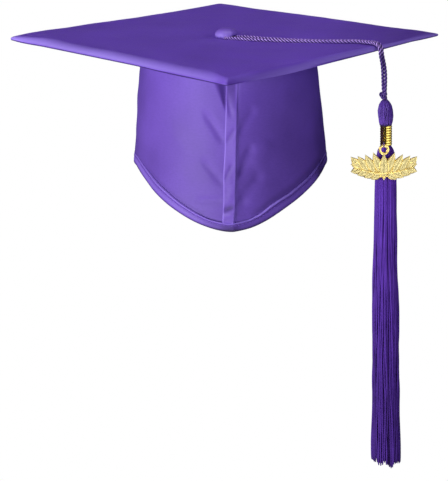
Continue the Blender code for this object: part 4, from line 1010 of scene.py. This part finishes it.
def leg(side):
    """One leg of the loop, from the button over the rim and down to the knot; side -1 is the front one."""
    q = unit(np.gradient(middle, axis=0))
    q[-1] = EDGE_N
    across = np.stack([-q[:, 1], q[:, 0], np.zeros(len(q))], 1)
    t = np.linspace(0, 1, len(middle)) / 0.66
    half = LOOP_R + (LEG_HALF - LOOP_R) * ease(t)
    flat = middle + across * (half * side)[:, None]
    flat[:, 2] = TOP_Z + 0.0013 + warp(flat[:, 0], flat[:, 1]) + dimple(flat[:, 0], flat[:, 1])
    rise = warp(edge_in[0], edge_in[1])
    a = np.radians(np.linspace(0, 84, 12)[1:])
    over = edge_in + EDGE_T * LEG_HALF * side + EDGE_N * (BEND_R * np.sin(a))[:, None]
    over[:, 2] += rise - BEND_R * (1 - np.cos(a)) - 0.0001
    # the hanging pair: the legs turn slowly round each other
    z = np.linspace(0.0950, KNOT[2] + 0.0012, 36)
    s = (0.0949 - z) / (0.0949 - KNOT[2])
    mid = DROP_PIVOT + (KNOT - DROP_PIVOT) * s[:, None]
    mid[:, 2] = z
    mid[:, 0] += np.interp(s, (0.0, 0.15, 0.35, 0.6, 0.85, 1.0), (0.0, 0.0006, 0.0009, 0.0003, -0.0007, -0.0009))
    turn = np.radians(45.0 - 97.0 * ease(s * 0.95))
    apart = LEG_HALF - 0.00022 * ease(s * 3)
    apart = apart * (1 - 0.40 * ease((s - 0.88) / 0.12))
    hang = mid + side * apart[:, None] * np.stack([np.cos(turn), np.sin(turn), np.zeros(len(z))], 1)
    return soften(resample(np.concatenate([flat[2:], over, hang]), 0.0006), 12)


front_leg, back_leg = leg(-1), leg(1)
turn_a = leave - math.pi / 2 - math.pi * np.linspace(0, 1, 30)
turn = np.column_stack([LOOP_R * np.cos(turn_a), LOOP_R * np.sin(turn_a), np.full(30, TOP_Z + 0.0013 - DIMPLE)])
cord_path = soften(resample(np.concatenate([front_leg[::-1], turn, back_leg]), 0.0006), 10)
skin = Skin()
hung = ease((0.0985 - cord_path[:, 2]) / 0.0060)              # the hanging stretch is painted darker, as shade, and shows less of the pale crests
rope(skin, cord_path, 3, 0.00062, 0.00063, 0.0086, pale=(0.936 + 0.024 * hung, 0.988 + 0.014 * hung), least=0.70 * hung)
cord = skin.make("tassel_cord", [M_CORD])
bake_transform(cord)
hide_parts("loop_cord", "drop_cord")

# knot: the two legs are tied once before they enter the head
t = np.linspace(0, 2 * math.pi, 150, endpoint=False)
k_r = 0.00078
trefoil = np.stack([np.sin(t) + 2 * np.sin(2 * t), 0.82 * np.sin(3 * t) * 1.3, np.cos(t) - 2 * np.cos(2 * t)], 1) * k_r
trefoil = trefoil * (1.0, 1.0, 1.05) + (KNOT[0] - 0.0020, KNOT[1] - 0.0002, KNOT[2] + 0.0002)
skin = Skin()
# the knot is painted darker overall, as shade, like the hanging cord
rope(skin, np.concatenate([trefoil, trefoil[:1]]), 3, 0.00058, 0.00056, 0.0080, pale=(0.955, 1.005), least=0.72)
stub = spline([(KNOT[0] - 0.0010, KNOT[1], KNOT[2] + 0.001), (KNOT[0] - 0.0004, KNOT[1], KNOT[2] - 0.0018), (TX, TY, KNOT[2] - 0.0040),
               (TX, TY, KNOT[2] - 0.0075)], 10)
rope(skin, resample(stub, 0.0005), 3, 0.00078, 0.00080, 0.0080, pale=(0.955, 1.005), least=0.72)
knot = put(skin.make("cord_knot_tied", [M_CORD]), "tassel", "cord", "cord_knot")


# ---------------------------------------------------------------- tassel head, binding and band
def lathe(skin, profile, sides, centre, slot=0, closed=False, wear=None):
    profile = np.asarray(profile, float)
    a = 2 * math.pi * np.arange(sides) / sides
    P = np.stack([centre[0] + profile[:, 0, None] * np.cos(a), centre[1] + profile[:, 0, None] * np.sin(a),
                  np.broadcast_to(profile[:, 1, None], (len(profile), sides))], -1)
    run = np.concatenate([[0], np.cumsum(np.linalg.norm(np.diff(profile, axis=0), axis=1))])
    if closed:
        run = np.append(run, run[-1] + 0.001)
    UV = np.stack(np.meshgrid(run, np.arange(sides + 1) / sides, indexing="ij")[::-1], -1)
    first = skin.grid(P, UV, around=closed, across=True, slot=slot, wear=None if wear is None else np.asarray(wear)[:, None])
    if not closed:
        skin.cap((np.arange(sides) + first)[::-1], (0.5, 0.0), slot)
        skin.cap(np.arange(sides) + first + (len(profile) - 1) * sides, (0.5, float(run[-1])), slot)


skin = Skin()
lathe(skin, [(0.0006, TOP_Z + 0.0032), (0.0058, TOP_Z + 0.0031), (0.0062, TOP_Z + 0.00295), (0.0063, TOP_Z + 0.0028), (0.0062, TOP_Z + 0.00262),
             (0.0058, TOP_Z + 0.0026), (0.0024, TOP_Z + 0.0026), (0.0020, TOP_Z + 0.0024), (0.0019, TOP_Z + 0.00145)], 40, (0.0, 0.0))
plate = put(skin.make("button_back_steel", [M_STEEL], 40), "cap", "steel", "button_back")

head_z = np.array((0.0595, 0.0583, 0.0571, 0.0543, 0.0499, 0.0454, 0.0415, 0.0392, 0.0380))
head_r = np.array((0.0012, 0.0023, 0.0033, 0.0048, 0.0058, 0.0058, 0.0053, 0.0048, 0.0045))
rng = np.random.default_rng(5)
skin = Skin()
zs = np.linspace(0.0595, 0.0382, 40)
core_r = np.interp(zs, head_z[::-1], head_r[::-1]) - 0.0007
# the core is marked fully dark: painted shade between the strands
lathe(skin, list(zip(np.maximum(core_r, 0.0006), zs)) + [(0.0030, 0.0378), (0.0030, 0.0289)], 24, (TX, TY),
      wear=np.ones(42))
HEAD_STRANDS = 36
for layer, count in ((0, HEAD_STRANDS), (1, 15)):
    for k in range(count):
        a0 = 2 * math.pi * (k + 0.35 * rng.uniform(-1, 1) + 0.5 * layer) / count
        swirl = math.radians(rng.normal(34.0, 7.0)) * (1 if layer == 0 else -0.5)
        q = (0.0595 - zs) / (0.0595 - 0.0382)
        r = np.interp(zs, head_z[::-1], head_r[::-1]) - 0.00042 + (0.00016 * layer) + 0.00014 * np.sin(q * rng.uniform(4, 9) + rng.uniform(0, 6))
        r = np.maximum(r, 0.0007)
        a = a0 + swirl * (q - 0.5) + 0.05 * np.sin(q * 7 + k)
        thick = np.minimum(0.00050, 2 * math.pi * (r + 0.0004) / HEAD_STRANDS * 0.56)
        p = np.stack([TX - 0.0006 * (1 - ease(q * 1.3)) + r * np.cos(a), TY + r * np.sin(a), zs], 1)
        # each strand has its own tone at random, and painted shade where it gathers at the top and where it goes into
        # the band
        tube(skin, p, thick, 6, u0=rng.uniform(0, 1), wear=0.35 * rng.uniform(0, 1) + 0.75 * (1 - ease(q / 0.10)) + 0.9 * ease((q - 0.88) / 0.12))
head = put(skin.make("tassel_head_yarn", [M_HEAD]), "tassel", "yarn", "tassel_head")

skin = Skin()
turns, per = 8, 18
a = np.linspace(0, 2 * math.pi * turns, turns * per + 1)
tube(skin, np.stack([TX + 0.0036 * np.cos(a), TY + 0.0036 * np.sin(a), np.linspace(0.0369, 0.0303, len(a))], 1), 0.00034, 6)
binding = put(skin.make("tassel_binding_thread", [M_THREAD]), "tassel", "thread", "tassel_binding")

RIBS = 8
rib = (BAND_TOP - BAND_LOW) / RIBS
prof, painted_light_and_tone_level = [(BAND_IN, BAND_TOP - 0.0002), (BAND_IN + 0.0003, BAND_TOP)], [0.5, 0.2]
for k in range(RIBS):
    fat = 1.0 + 0.02 * math.sin(k * 2.3)
    for f in np.linspace(0, 1, 9)[(0 if k == 0 else 1):]:
        bulge = math.sin(math.pi * f) ** 0.75
        prof.append((BAND_R - 0.00052 + 0.00052 * fat * bulge, BAND_TOP - rib * (k + f)))
        painted_light_and_tone_level.append(0.85 * (1 - bulge) ** 2)
prof += [(BAND_IN + 0.0003, BAND_LOW), (BAND_IN, BAND_LOW + 0.0002), (BAND_IN, (BAND_TOP + BAND_LOW) / 2)]
painted_light_and_tone_level += [0.2, 0.5, 0.6]
skin = Skin()
lathe(skin, prof, 64, (TX + 0.0003, TY), closed=True, wear=painted_light_and_tone_level)
band = put(skin.make("tassel_gold_band", [M_GOLD]), "tassel", "gold", "tassel_band")


# ---------------------------------------------------------------- fringe
fr_z = np.array((0.0262, 0.0240, 0.0224, 0.0200, 0.0180, 0.0130, 0.0040, -0.0070, -0.0600, -0.1050, -0.1850, -0.2250, -0.2420))
fr_x = np.array((0.0034, 0.0036, 0.0040, 0.0056, 0.0066, 0.0074, 0.0081, 0.0086, 0.0094, 0.0105, 0.0109, 0.0116, 0.0119))
fr_y = np.array((0.0034, 0.0035, 0.0036, 0.0038, 0.0040, 0.0047, 0.0056, 0.0062, 0.0072, 0.0077, 0.0080, 0.0083, 0.0083))
drift_z = np.array((0.0262, -0.0060, -0.0600, -0.1030, -0.1850, -0.2350, -0.2420))
drift_x = np.array((0.0, 0.0001, -0.0002, 0.0003, 0.0006, 0.0010, 0.0011))
base_z = np.concatenate([np.linspace(0.0262, 0.0130, 9), np.linspace(0.0110, -0.2300, 46)])
rng = np.random.default_rng(17)
skin = Skin()
layers = ((48, 1.00, 0.00066), (38, 0.83, 0.00066), (26, 0.62, 0.00070), (14, 0.38, 0.00072), (5, 0.14, 0.00075))


END_X = np.array((-10.9, -7.3, -5.2, -3.6, -2.2, -0.6, 0.9, 2.3, 4.0, 5.5, 6.5, 7.4, 9.5, 11.4, 13.1)) / 1000
END_Z = np.array((-233.4, -235.2, -236.6, -237.5, -236.3, -234.4, -236.6, -238.9, -239.4, -239.0, -237.0, -235.4, -236.0, -236.6, -235.4)) / 1000


for depth, (count, share, thick) in enumerate(layers):
    for k in range(count):
        a = 2 * math.pi * (k + 0.30 * rng.uniform(-1, 1) + 0.5 * (depth % 2)) / count
        share_k = share * (1 + (0.02 if depth == 0 else 0.06) * rng.uniform(-1, 1))
        ux, uy = math.cos(a) * share_k, math.sin(a) * share_k
        low = np.interp(ux * 0.0116 + 0.0010, END_X, END_Z) + 0.0005 * rng.uniform(-1, 1) + 0.0003 * depth + 0.0008 * (uy > 0.3)
        if depth == 0 and uy < -0.6 and abs(ux - 0.12) < 0.07:
            low = -0.2140
        zs = np.concatenate([base_z[base_z > low + 0.006], np.linspace(low + 0.005, low, 4)])
        rx, ry = np.interp(zs, fr_z[::-1], fr_x[::-1]), np.interp(zs, fr_z[::-1], fr_y[::-1])
        sway = np.clip((0.012 - zs) / 0.10, 0, 1)
        f1, f2, p1, p2 = rng.uniform(45, 95), rng.uniform(100, 170), rng.uniform(0, 6.28), rng.uniform(0, 6.28)
        wob = sway * (0.00040 * np.sin(zs * f1 + p1) + 0.00016 * np.sin(zs * f2 + p2))
        wob_y = sway * 0.00032 * np.sin(zs * f1 * 0.8 + p2)
        x = TX + np.interp(zs, drift_z[::-1], drift_x[::-1]) + ux * (rx - 0.0006) + wob
        y = TY + uy * (ry - 0.0006) + wob_y
        y = np.maximum(y, -0.0590 + thick - 0.008 * np.clip((-0.006 - zs) / 0.02, 0, 1))
        fat = thick * rng.uniform(0.92, 1.08) * np.interp(zs, (low, low + 0.003, 0.004, 0.0180, 0.0262), (0.72, 1.0, 1.0, 0.80, 0.55))
        tip = ease((low + 0.004 - zs) / 0.004)
        # painted shade: inner layers are darker; each yarn also has its own tone at random, and all darken towards the
        # bottom and at their tips
        dark = 0.16 * depth + 0.30 * rng.uniform(0, 1) ** 2 + 0.50 * ease((0.02 - zs) / 0.24) + 0.20 * tip
        tube(skin, np.stack([x, y, zs], 1), fat, 7, u0=rng.uniform(0, 1), wear=np.clip(dark, 0, 1))
fringe = skin.make("fringe_yarns", [M_FRINGE])
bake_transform(fringe)
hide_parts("fringe")


# ---------------------------------------------------------------- pendant: a spray of leaves on a loop
def spray():
    """Places of the leaves: foot, angle, length, width and layer."""
    out = [((0.0, -CHARM_H / 2), 90.0, 0.0212, 0.0084, 3)]
    for side in (-1, 1):
        for k in range(4):
            t = (k + 0.42) / 4
            x, z = 0.0205 * t, -0.0060 + 0.0046 * t * t
            up, low = 72.0 - 26.0 * t, -34.0 + 24.0 * t
            out.append(((side * x, z), up if side > 0 else 180.0 - up, 0.0178 - 0.0016 * k, 0.0068, 2 - 0.4 * k))
            out.append(((side * x, z), low if side > 0 else 180.0 - low, 0.0094 - 0.0002 * k, 0.0060, 1.6 - 0.4 * k))
        out.append(((side * 0.0160, -0.0012), 14.0 if side > 0 else 166.0, CHARM_W / 2 - 0.0163, 0.0066, 0.4))
    return out


skin = Skin()
LT, LS = 22, 17
for foot, angle, length, width, layer in spray():
    t = np.linspace(0.0, 1.0, LT)
    s = np.sin(np.linspace(-1, 1, LS) * math.pi / 2)
    T, S = np.meshgrid(t, s, indexing="ij")
    half = np.maximum(width / 2 * np.sin(math.pi * T ** 0.85), 0.00012)
    end = np.minimum(half / (width * 0.18), 1.0)
    border = np.exp(-((np.abs(S) - 0.86) / 0.09) ** 2)
    vein = np.exp(-(S / 0.10) ** 2)
    tall = 0.00058 + 0.00030 * border * end - 0.00016 * vein * end + 0.00010 * (1 - S * S)
    ribs = 0.00007 * np.sin((T * 9 - np.abs(S) * 1.6) * 2 * math.pi) * (np.abs(S) < 0.72) * end
    tall = (tall + ribs) * np.sqrt(np.clip(1.02 - np.abs(S) ** 8, 0.02, 1))
    c, sn = math.cos(math.radians(angle)), math.sin(math.radians(angle))
    px, pw = T * length, S * half
    X = CHARM_X + foot[0] + c * px - sn * pw
    Z = CHARM_Z + foot[1] + sn * px + c * pw
    yf = CHARM_Y - 0.00002 - 0.00010 * layer - tall
    yb = CHARM_Y + 0.00045 - 0.00003 * layer + 0.00010 * (1 - S ** 2)
    loop = np.concatenate([np.stack([X, yf, Z], -1), np.stack([X, yb, Z], -1)[:, ::-1]], 1)
    uv = np.concatenate([np.stack([px, pw], -1), np.stack([px, pw], -1)[:, ::-1]], 1)
    edge = np.concatenate([np.abs(S), np.abs(S[:, ::-1])], 1)
    is_edge = (np.concatenate([(np.abs(S) > 0.70) * 1, np.ones_like(S, int)], 1))
    cell = np.concatenate([is_edge, is_edge[:, :1]], 1)
    slot = (np.minimum(cell[:-1, :-1], cell[:-1, 1:])).astype(int)
    groove = np.concatenate([0.8 * vein + 0.9 * np.exp(-((np.abs(S) - 0.68) / 0.05) ** 2) + 0.8 * (np.abs(S) > 0.985),
                             0.35 * np.ones_like(S)], 1)
    first = skin.grid(loop, uv, across=True, slot=slot, wear=np.clip(groove, 0, 1))
    n = 2 * LS
    for row, flip in ((0, True), (LT - 1, False)):
        base = first + row * n
        for k in range(LS - 1):
            quad = [base + k, base + k + 1, base + n - 2 - k, base + n - 1 - k]
            skin.cap(quad[::-1] if flip else quad, (0, 0), 1)
stem_t = np.linspace(-1, 1, 60)
stem = np.stack([CHARM_X + 0.0205 * stem_t, np.full(60, CHARM_Y - 0.00082), CHARM_Z - 0.0060 + 0.0046 * stem_t ** 2], 1)
tube(skin, stem, 0.00052 * (1 - 0.45 * np.abs(stem_t)), 10, slot=1)
plate_t = np.linspace(-1, 1, 41)
a = 2 * math.pi * np.arange(14) / 14
backing = np.stack([CHARM_X + 0.0190 * plate_t, np.full(41, CHARM_Y + 0.0001), CHARM_Z - 0.0052 + 0.0046 * plate_t ** 2], 1)
P = backing[:, None] + np.stack([np.zeros(14), 0.00052 * np.cos(a), 0.0034 * np.sin(a)], 1)[None] * (1 - 0.75 * plate_t[:, None, None] ** 2)
UV = np.stack(np.meshgrid(plate_t * 0.02, np.arange(15) / 14 * 0.01, indexing="ij"), -1)
first = skin.grid(P, UV, across=True, slot=1)
skin.cap((np.arange(14) + first)[::-1], (0, 0), 1)
skin.cap(np.arange(14) + first + 40 * 14, (0, 0), 1)
for x, z, r in ((0.0, -0.0088, 0.0012), (-0.0028, -0.0082, 0.0010), (0.0028, -0.0082, 0.0010)):
    prof_b = np.array([(r * math.sin(q), r * math.cos(q)) for q in np.linspace(0.05, math.pi - 0.05, 9)])
    P = np.stack([CHARM_X + x + prof_b[:, 0, None] * np.cos(a), CHARM_Y - 0.00085 - 0.75 * np.broadcast_to(prof_b[:, 1, None], (9, 14)),
                  CHARM_Z + z + prof_b[:, 0, None] * np.sin(a)], -1)
    first = skin.grid(P, np.zeros((10, 15, 2)), across=True, slot=1)
    skin.cap(np.arange(14) + first, (0, 0), 1)
    skin.cap((np.arange(14) + first + 8 * 14)[::-1], (0, 0), 1)
ring_mid, ring_half = (CHARM_LOOP_R + CHARM_HOLE_R) / 2, (CHARM_LOOP_R - CHARM_HOLE_R) / 2
b = 2 * math.pi * np.arange(48) / 48
c = 2 * math.pi * np.arange(18) / 18
sec_r = ring_half * np.sign(np.cos(c)) * np.abs(np.cos(c)) ** 0.7
sec_y = CHARM_T / 2 * np.sign(np.sin(c)) * np.abs(np.sin(c)) ** 0.7
P = np.stack([CHARM_X + (ring_mid + sec_r[None, :]) * np.cos(b)[:, None], CHARM_Y + np.broadcast_to(sec_y[None, :], (48, 18)),
              CHARM_LOOP_Z + (ring_mid + sec_r[None, :]) * np.sin(b)[:, None]], -1)
UV = np.stack(np.meshgrid(np.arange(49) / 48 * 0.02, np.arange(19) / 18 * 0.006, indexing="ij"), -1)
skin.grid(P, UV, around=True, across=True, slot=1)
pendant = put(skin.make("leaf_pendant", [M_GLITTER, M_GOLD_EDGE], 55), "pendant", "glitter_gold", "charm")

# thread that ties the pendant's loop under the band
a = np.radians(-25.0 + 310.0 * np.linspace(0, 1, 40))
thread = np.column_stack([np.full(40, CHARM_X), CHARM_Y + 0.00215 * np.cos(a), CHARM_PIVOT_Z + 0.00215 * np.sin(a)])
tail = TY - 0.0045
thread = np.concatenate([thread, [(CHARM_X, (thread[-1][1] + tail) / 2 - 0.0002, CHARM_PIVOT_Z - 0.0026), (CHARM_X, tail, CHARM_PIVOT_Z - 0.0023),
                                  (CHARM_X, (thread[0][1] + tail) / 2 + 0.0002, CHARM_PIVOT_Z - 0.0013)]])
thread = soften(resample(np.concatenate([thread, thread[:1]]), 0.0003), 3)
skin = Skin()
rope(skin, thread, 2, 0.00024, 0.00021, 0.0016, 6)
tie = put(skin.make("pendant_tie_thread", [M_THREAD]), "tassel", "thread", "charm_tie")


# ---------------------------------------------------------------- floor, light and camera
def plane(name, size, at, facing, mat):
    me = bpy.data.meshes.new(name)
    w, h = size[0] / 2, size[1] / 2
    me.from_pydata([(-w, -h, 0), (w, -h, 0), (w, h, 0), (-w, h, 0)], [], [(0, 1, 2, 3)])
    me.materials.append(mat)
    ob = bpy.data.objects.new(name, me)
    bpy.context.scene.collection.objects.link(ob)
    ob.location = at
    ob.rotation_mode = "QUATERNION"
    ob.rotation_quaternion = Vector(facing).to_track_quat("Z", "Y")
    return ob


def glow(name, strength, one_sided=False):
    m = bpy.data.materials.new(name)
    m.use_nodes = True
    t = m.node_tree
    t.nodes.clear()
    out, em = t.nodes.new("ShaderNodeOutputMaterial"), t.nodes.new("ShaderNodeEmission")
    em.inputs["Color"].default_value = (1.0, 1.0, 1.0, 1.0)
    em.inputs["Strength"].default_value = strength
    if one_sided:
        mix, clear, geo = t.nodes.new("ShaderNodeMixShader"), t.nodes.new("ShaderNodeBsdfTransparent"), t.nodes.new("ShaderNodeNewGeometry")
        t.links.new(geo.outputs["Backfacing"], mix.inputs[0])
        t.links.new(em.outputs[0], mix.inputs[1])
        t.links.new(clear.outputs[0], mix.inputs[2])
        t.links.new(mix.outputs[0], out.inputs[0])
    else:
        t.links.new(em.outputs[0], out.inputs[0])
    return m


floor = plane("pale_floor", (30.0, 30.0), (0.0, 0.0, -0.45), (0, 0, 1), glow("pale_floor_white", 1.0, True))
floor.visible_diffuse = False
floor.visible_glossy = False
floor.visible_shadow = False
cards = [plane("light_card_right", (1.55, 1.6), (0.92, -1.20, 0.15), (-0.80, 1.15, 0.0), glow("light_card_bright", 3.2)),
         plane("light_card_side", (1.3, 1.6), (1.55, -0.10, 0.15), (-1.0, 0.05, 0.0), glow("light_card_soft", 0.9)),
         plane("light_card_left", (1.2, 1.6), (-1.35, 0.55, 0.15), (1.0, -0.35, 0.0), glow("light_card_pale", 0.9)),
         plane("light_card_front", (2.0, 1.6), (-1.00, -1.70, 0.15), (0.95, 1.6, 0.0), glow("light_card_dim", 0.17))]
cards.append(plane("light_card_back", (2.2, 1.6), (0.3, 2.30, 0.20), (-0.1, -1.0, 0.0), glow("light_card_behind", 0.55)))
for ob in cards:
    ob.visible_camera = False
    ob.visible_diffuse = False
    ob.visible_shadow = False


def lamp(name, at, aim, size, energy, colour=(1.0, 1.0, 1.0), spread=180.0):
    d = bpy.data.lights.new(name, "AREA")
    d.shape = "RECTANGLE"
    d.size, d.size_y = size
    d.energy = energy
    d.spread = math.radians(spread)
    d.color = colour
    ob = bpy.data.objects.new(name, d)
    bpy.context.scene.collection.objects.link(ob)
    ob.location = at
    ob.rotation_mode = "QUATERNION"
    ob.rotation_quaternion = (Vector(aim) - Vector(at)).to_track_quat("-Z", "Y")
    ob.visible_camera = False
    return ob


def around(az, el, dist):
    az, el = math.radians(az), math.radians(el)
    return (math.sin(az) * math.cos(el) * dist, -math.cos(az) * math.cos(el) * dist, math.sin(el) * dist)


key = lamp("key", around(-52.0, 5.0, 2.7), (0.0, 0.0, 0.02), (1.3, 1.1), 99.0, (1.0, 1.02, 0.95))
bounce = lamp("floor_bounce", around(0.0, -45.0, 2.7), (0.0, 0.0, 0.02), (1.3, 1.1), 49.0)
side_lamp = lamp("side_fill", around(66.0, 14.0, 2.7), (0.0, 0.0, 0.02), (1.3, 1.1), 18.5, (1.0, 1.0, 1.12))
side_lamp.visible_glossy = False
lamp("top_fill", around(0.0, 80.0, 2.7), (0.0, 0.0, 0.02), (1.3, 1.1), 50.0)
back_lamp = lamp("back", around(180.0, 6.0, 2.8), (0.0, 0.0, 0.02), (1.2, 1.2), 20.0)
back_lamp.visible_glossy = False
low_lamp = lamp("back_bounce", around(180.0, -42.0, 2.7), (0.0, 0.0, 0.02), (1.3, 1.1), 24.0)
low_lamp.visible_glossy = False
shaded = bpy.data.collections.new("shaded_from_key")          # the polished band is flagged off from the two large lamps
shaded.objects.link(band)
shaded.collection_objects[0].light_linking.link_state = "EXCLUDE"
for ob in (key, bounce):
    ob.light_linking.receiver_collection = shaded
metal = bpy.data.collections.new("lit_by_cards")              # the cards only give the gold something to mirror
for ob in (band, pendant):
    metal.objects.link(ob)
for ob in cards:
    ob.light_linking.receiver_collection = metal
flag = plane("light_flag", (0.50, 1.20), (0.393, 0.0, 0.40), (0, 0, -1), M_CARD)      # takes some of the top light off the right corner
flag.visible_camera = False
flag.visible_diffuse = False
flag.visible_glossy = False

world = bpy.data.worlds.new("studio")
bpy.context.scene.world = world
world.use_nodes = True
t = world.node_tree
t.nodes.clear()
out, back, soft, mix, path_node = (t.nodes.new(k) for k in ("ShaderNodeOutputWorld", "ShaderNodeBackground", "ShaderNodeBackground",
                                                          "ShaderNodeMixShader", "ShaderNodeLightPath"))
back.inputs["Color"].default_value = (1.0, 1.0, 1.0, 1.0)
back.inputs["Strength"].default_value = 1.0
soft.inputs["Color"].default_value = (1.0, 1.0, 1.0, 1.0)
soft.inputs["Strength"].default_value = 0.02
t.links.new(path_node.outputs["Is Camera Ray"], mix.inputs[0])
t.links.new(soft.outputs[0], mix.inputs[1])
t.links.new(back.outputs[0], mix.inputs[2])
t.links.new(mix.outputs[0], out.inputs[0])
bpy.context.scene.view_settings.view_transform = "Standard"
bpy.context.scene.view_settings.look = "None"
bpy.context.scene.cycles.denoising_prefilter = "NONE"         # keeps the fine lay of the cord

heading, pitch, roll = math.radians(0.32507), math.radians(13.1230), math.radians(-0.41221)
forward = Vector((math.sin(heading) * math.cos(pitch), math.cos(heading) * math.cos(pitch), -math.sin(pitch)))
right = forward.cross(Vector((0, 0, 1))).normalized()
up = right.cross(forward)
right, up = math.cos(roll) * right + math.sin(roll) * up, -math.sin(roll) * right + math.cos(roll) * up
cam_data = bpy.data.cameras.new("camera")
cam = bpy.data.objects.new("camera", cam_data)
bpy.context.scene.collection.objects.link(cam)
cam_data.sensor_width = 36.0
cam_data.lens = 282.573
cam_data.clip_start, cam_data.clip_end = 0.05, 60.0
cam.matrix_world = Matrix((
    (right.x, up.x, -forward.x, -0.0199376), (right.y, up.y, -forward.y, -2.9541770), (right.z, up.z, -forward.z, 0.6230170), (0, 0, 0, 1)))
bpy.context.scene.camera = cam

bpy.context.view_layer.update()
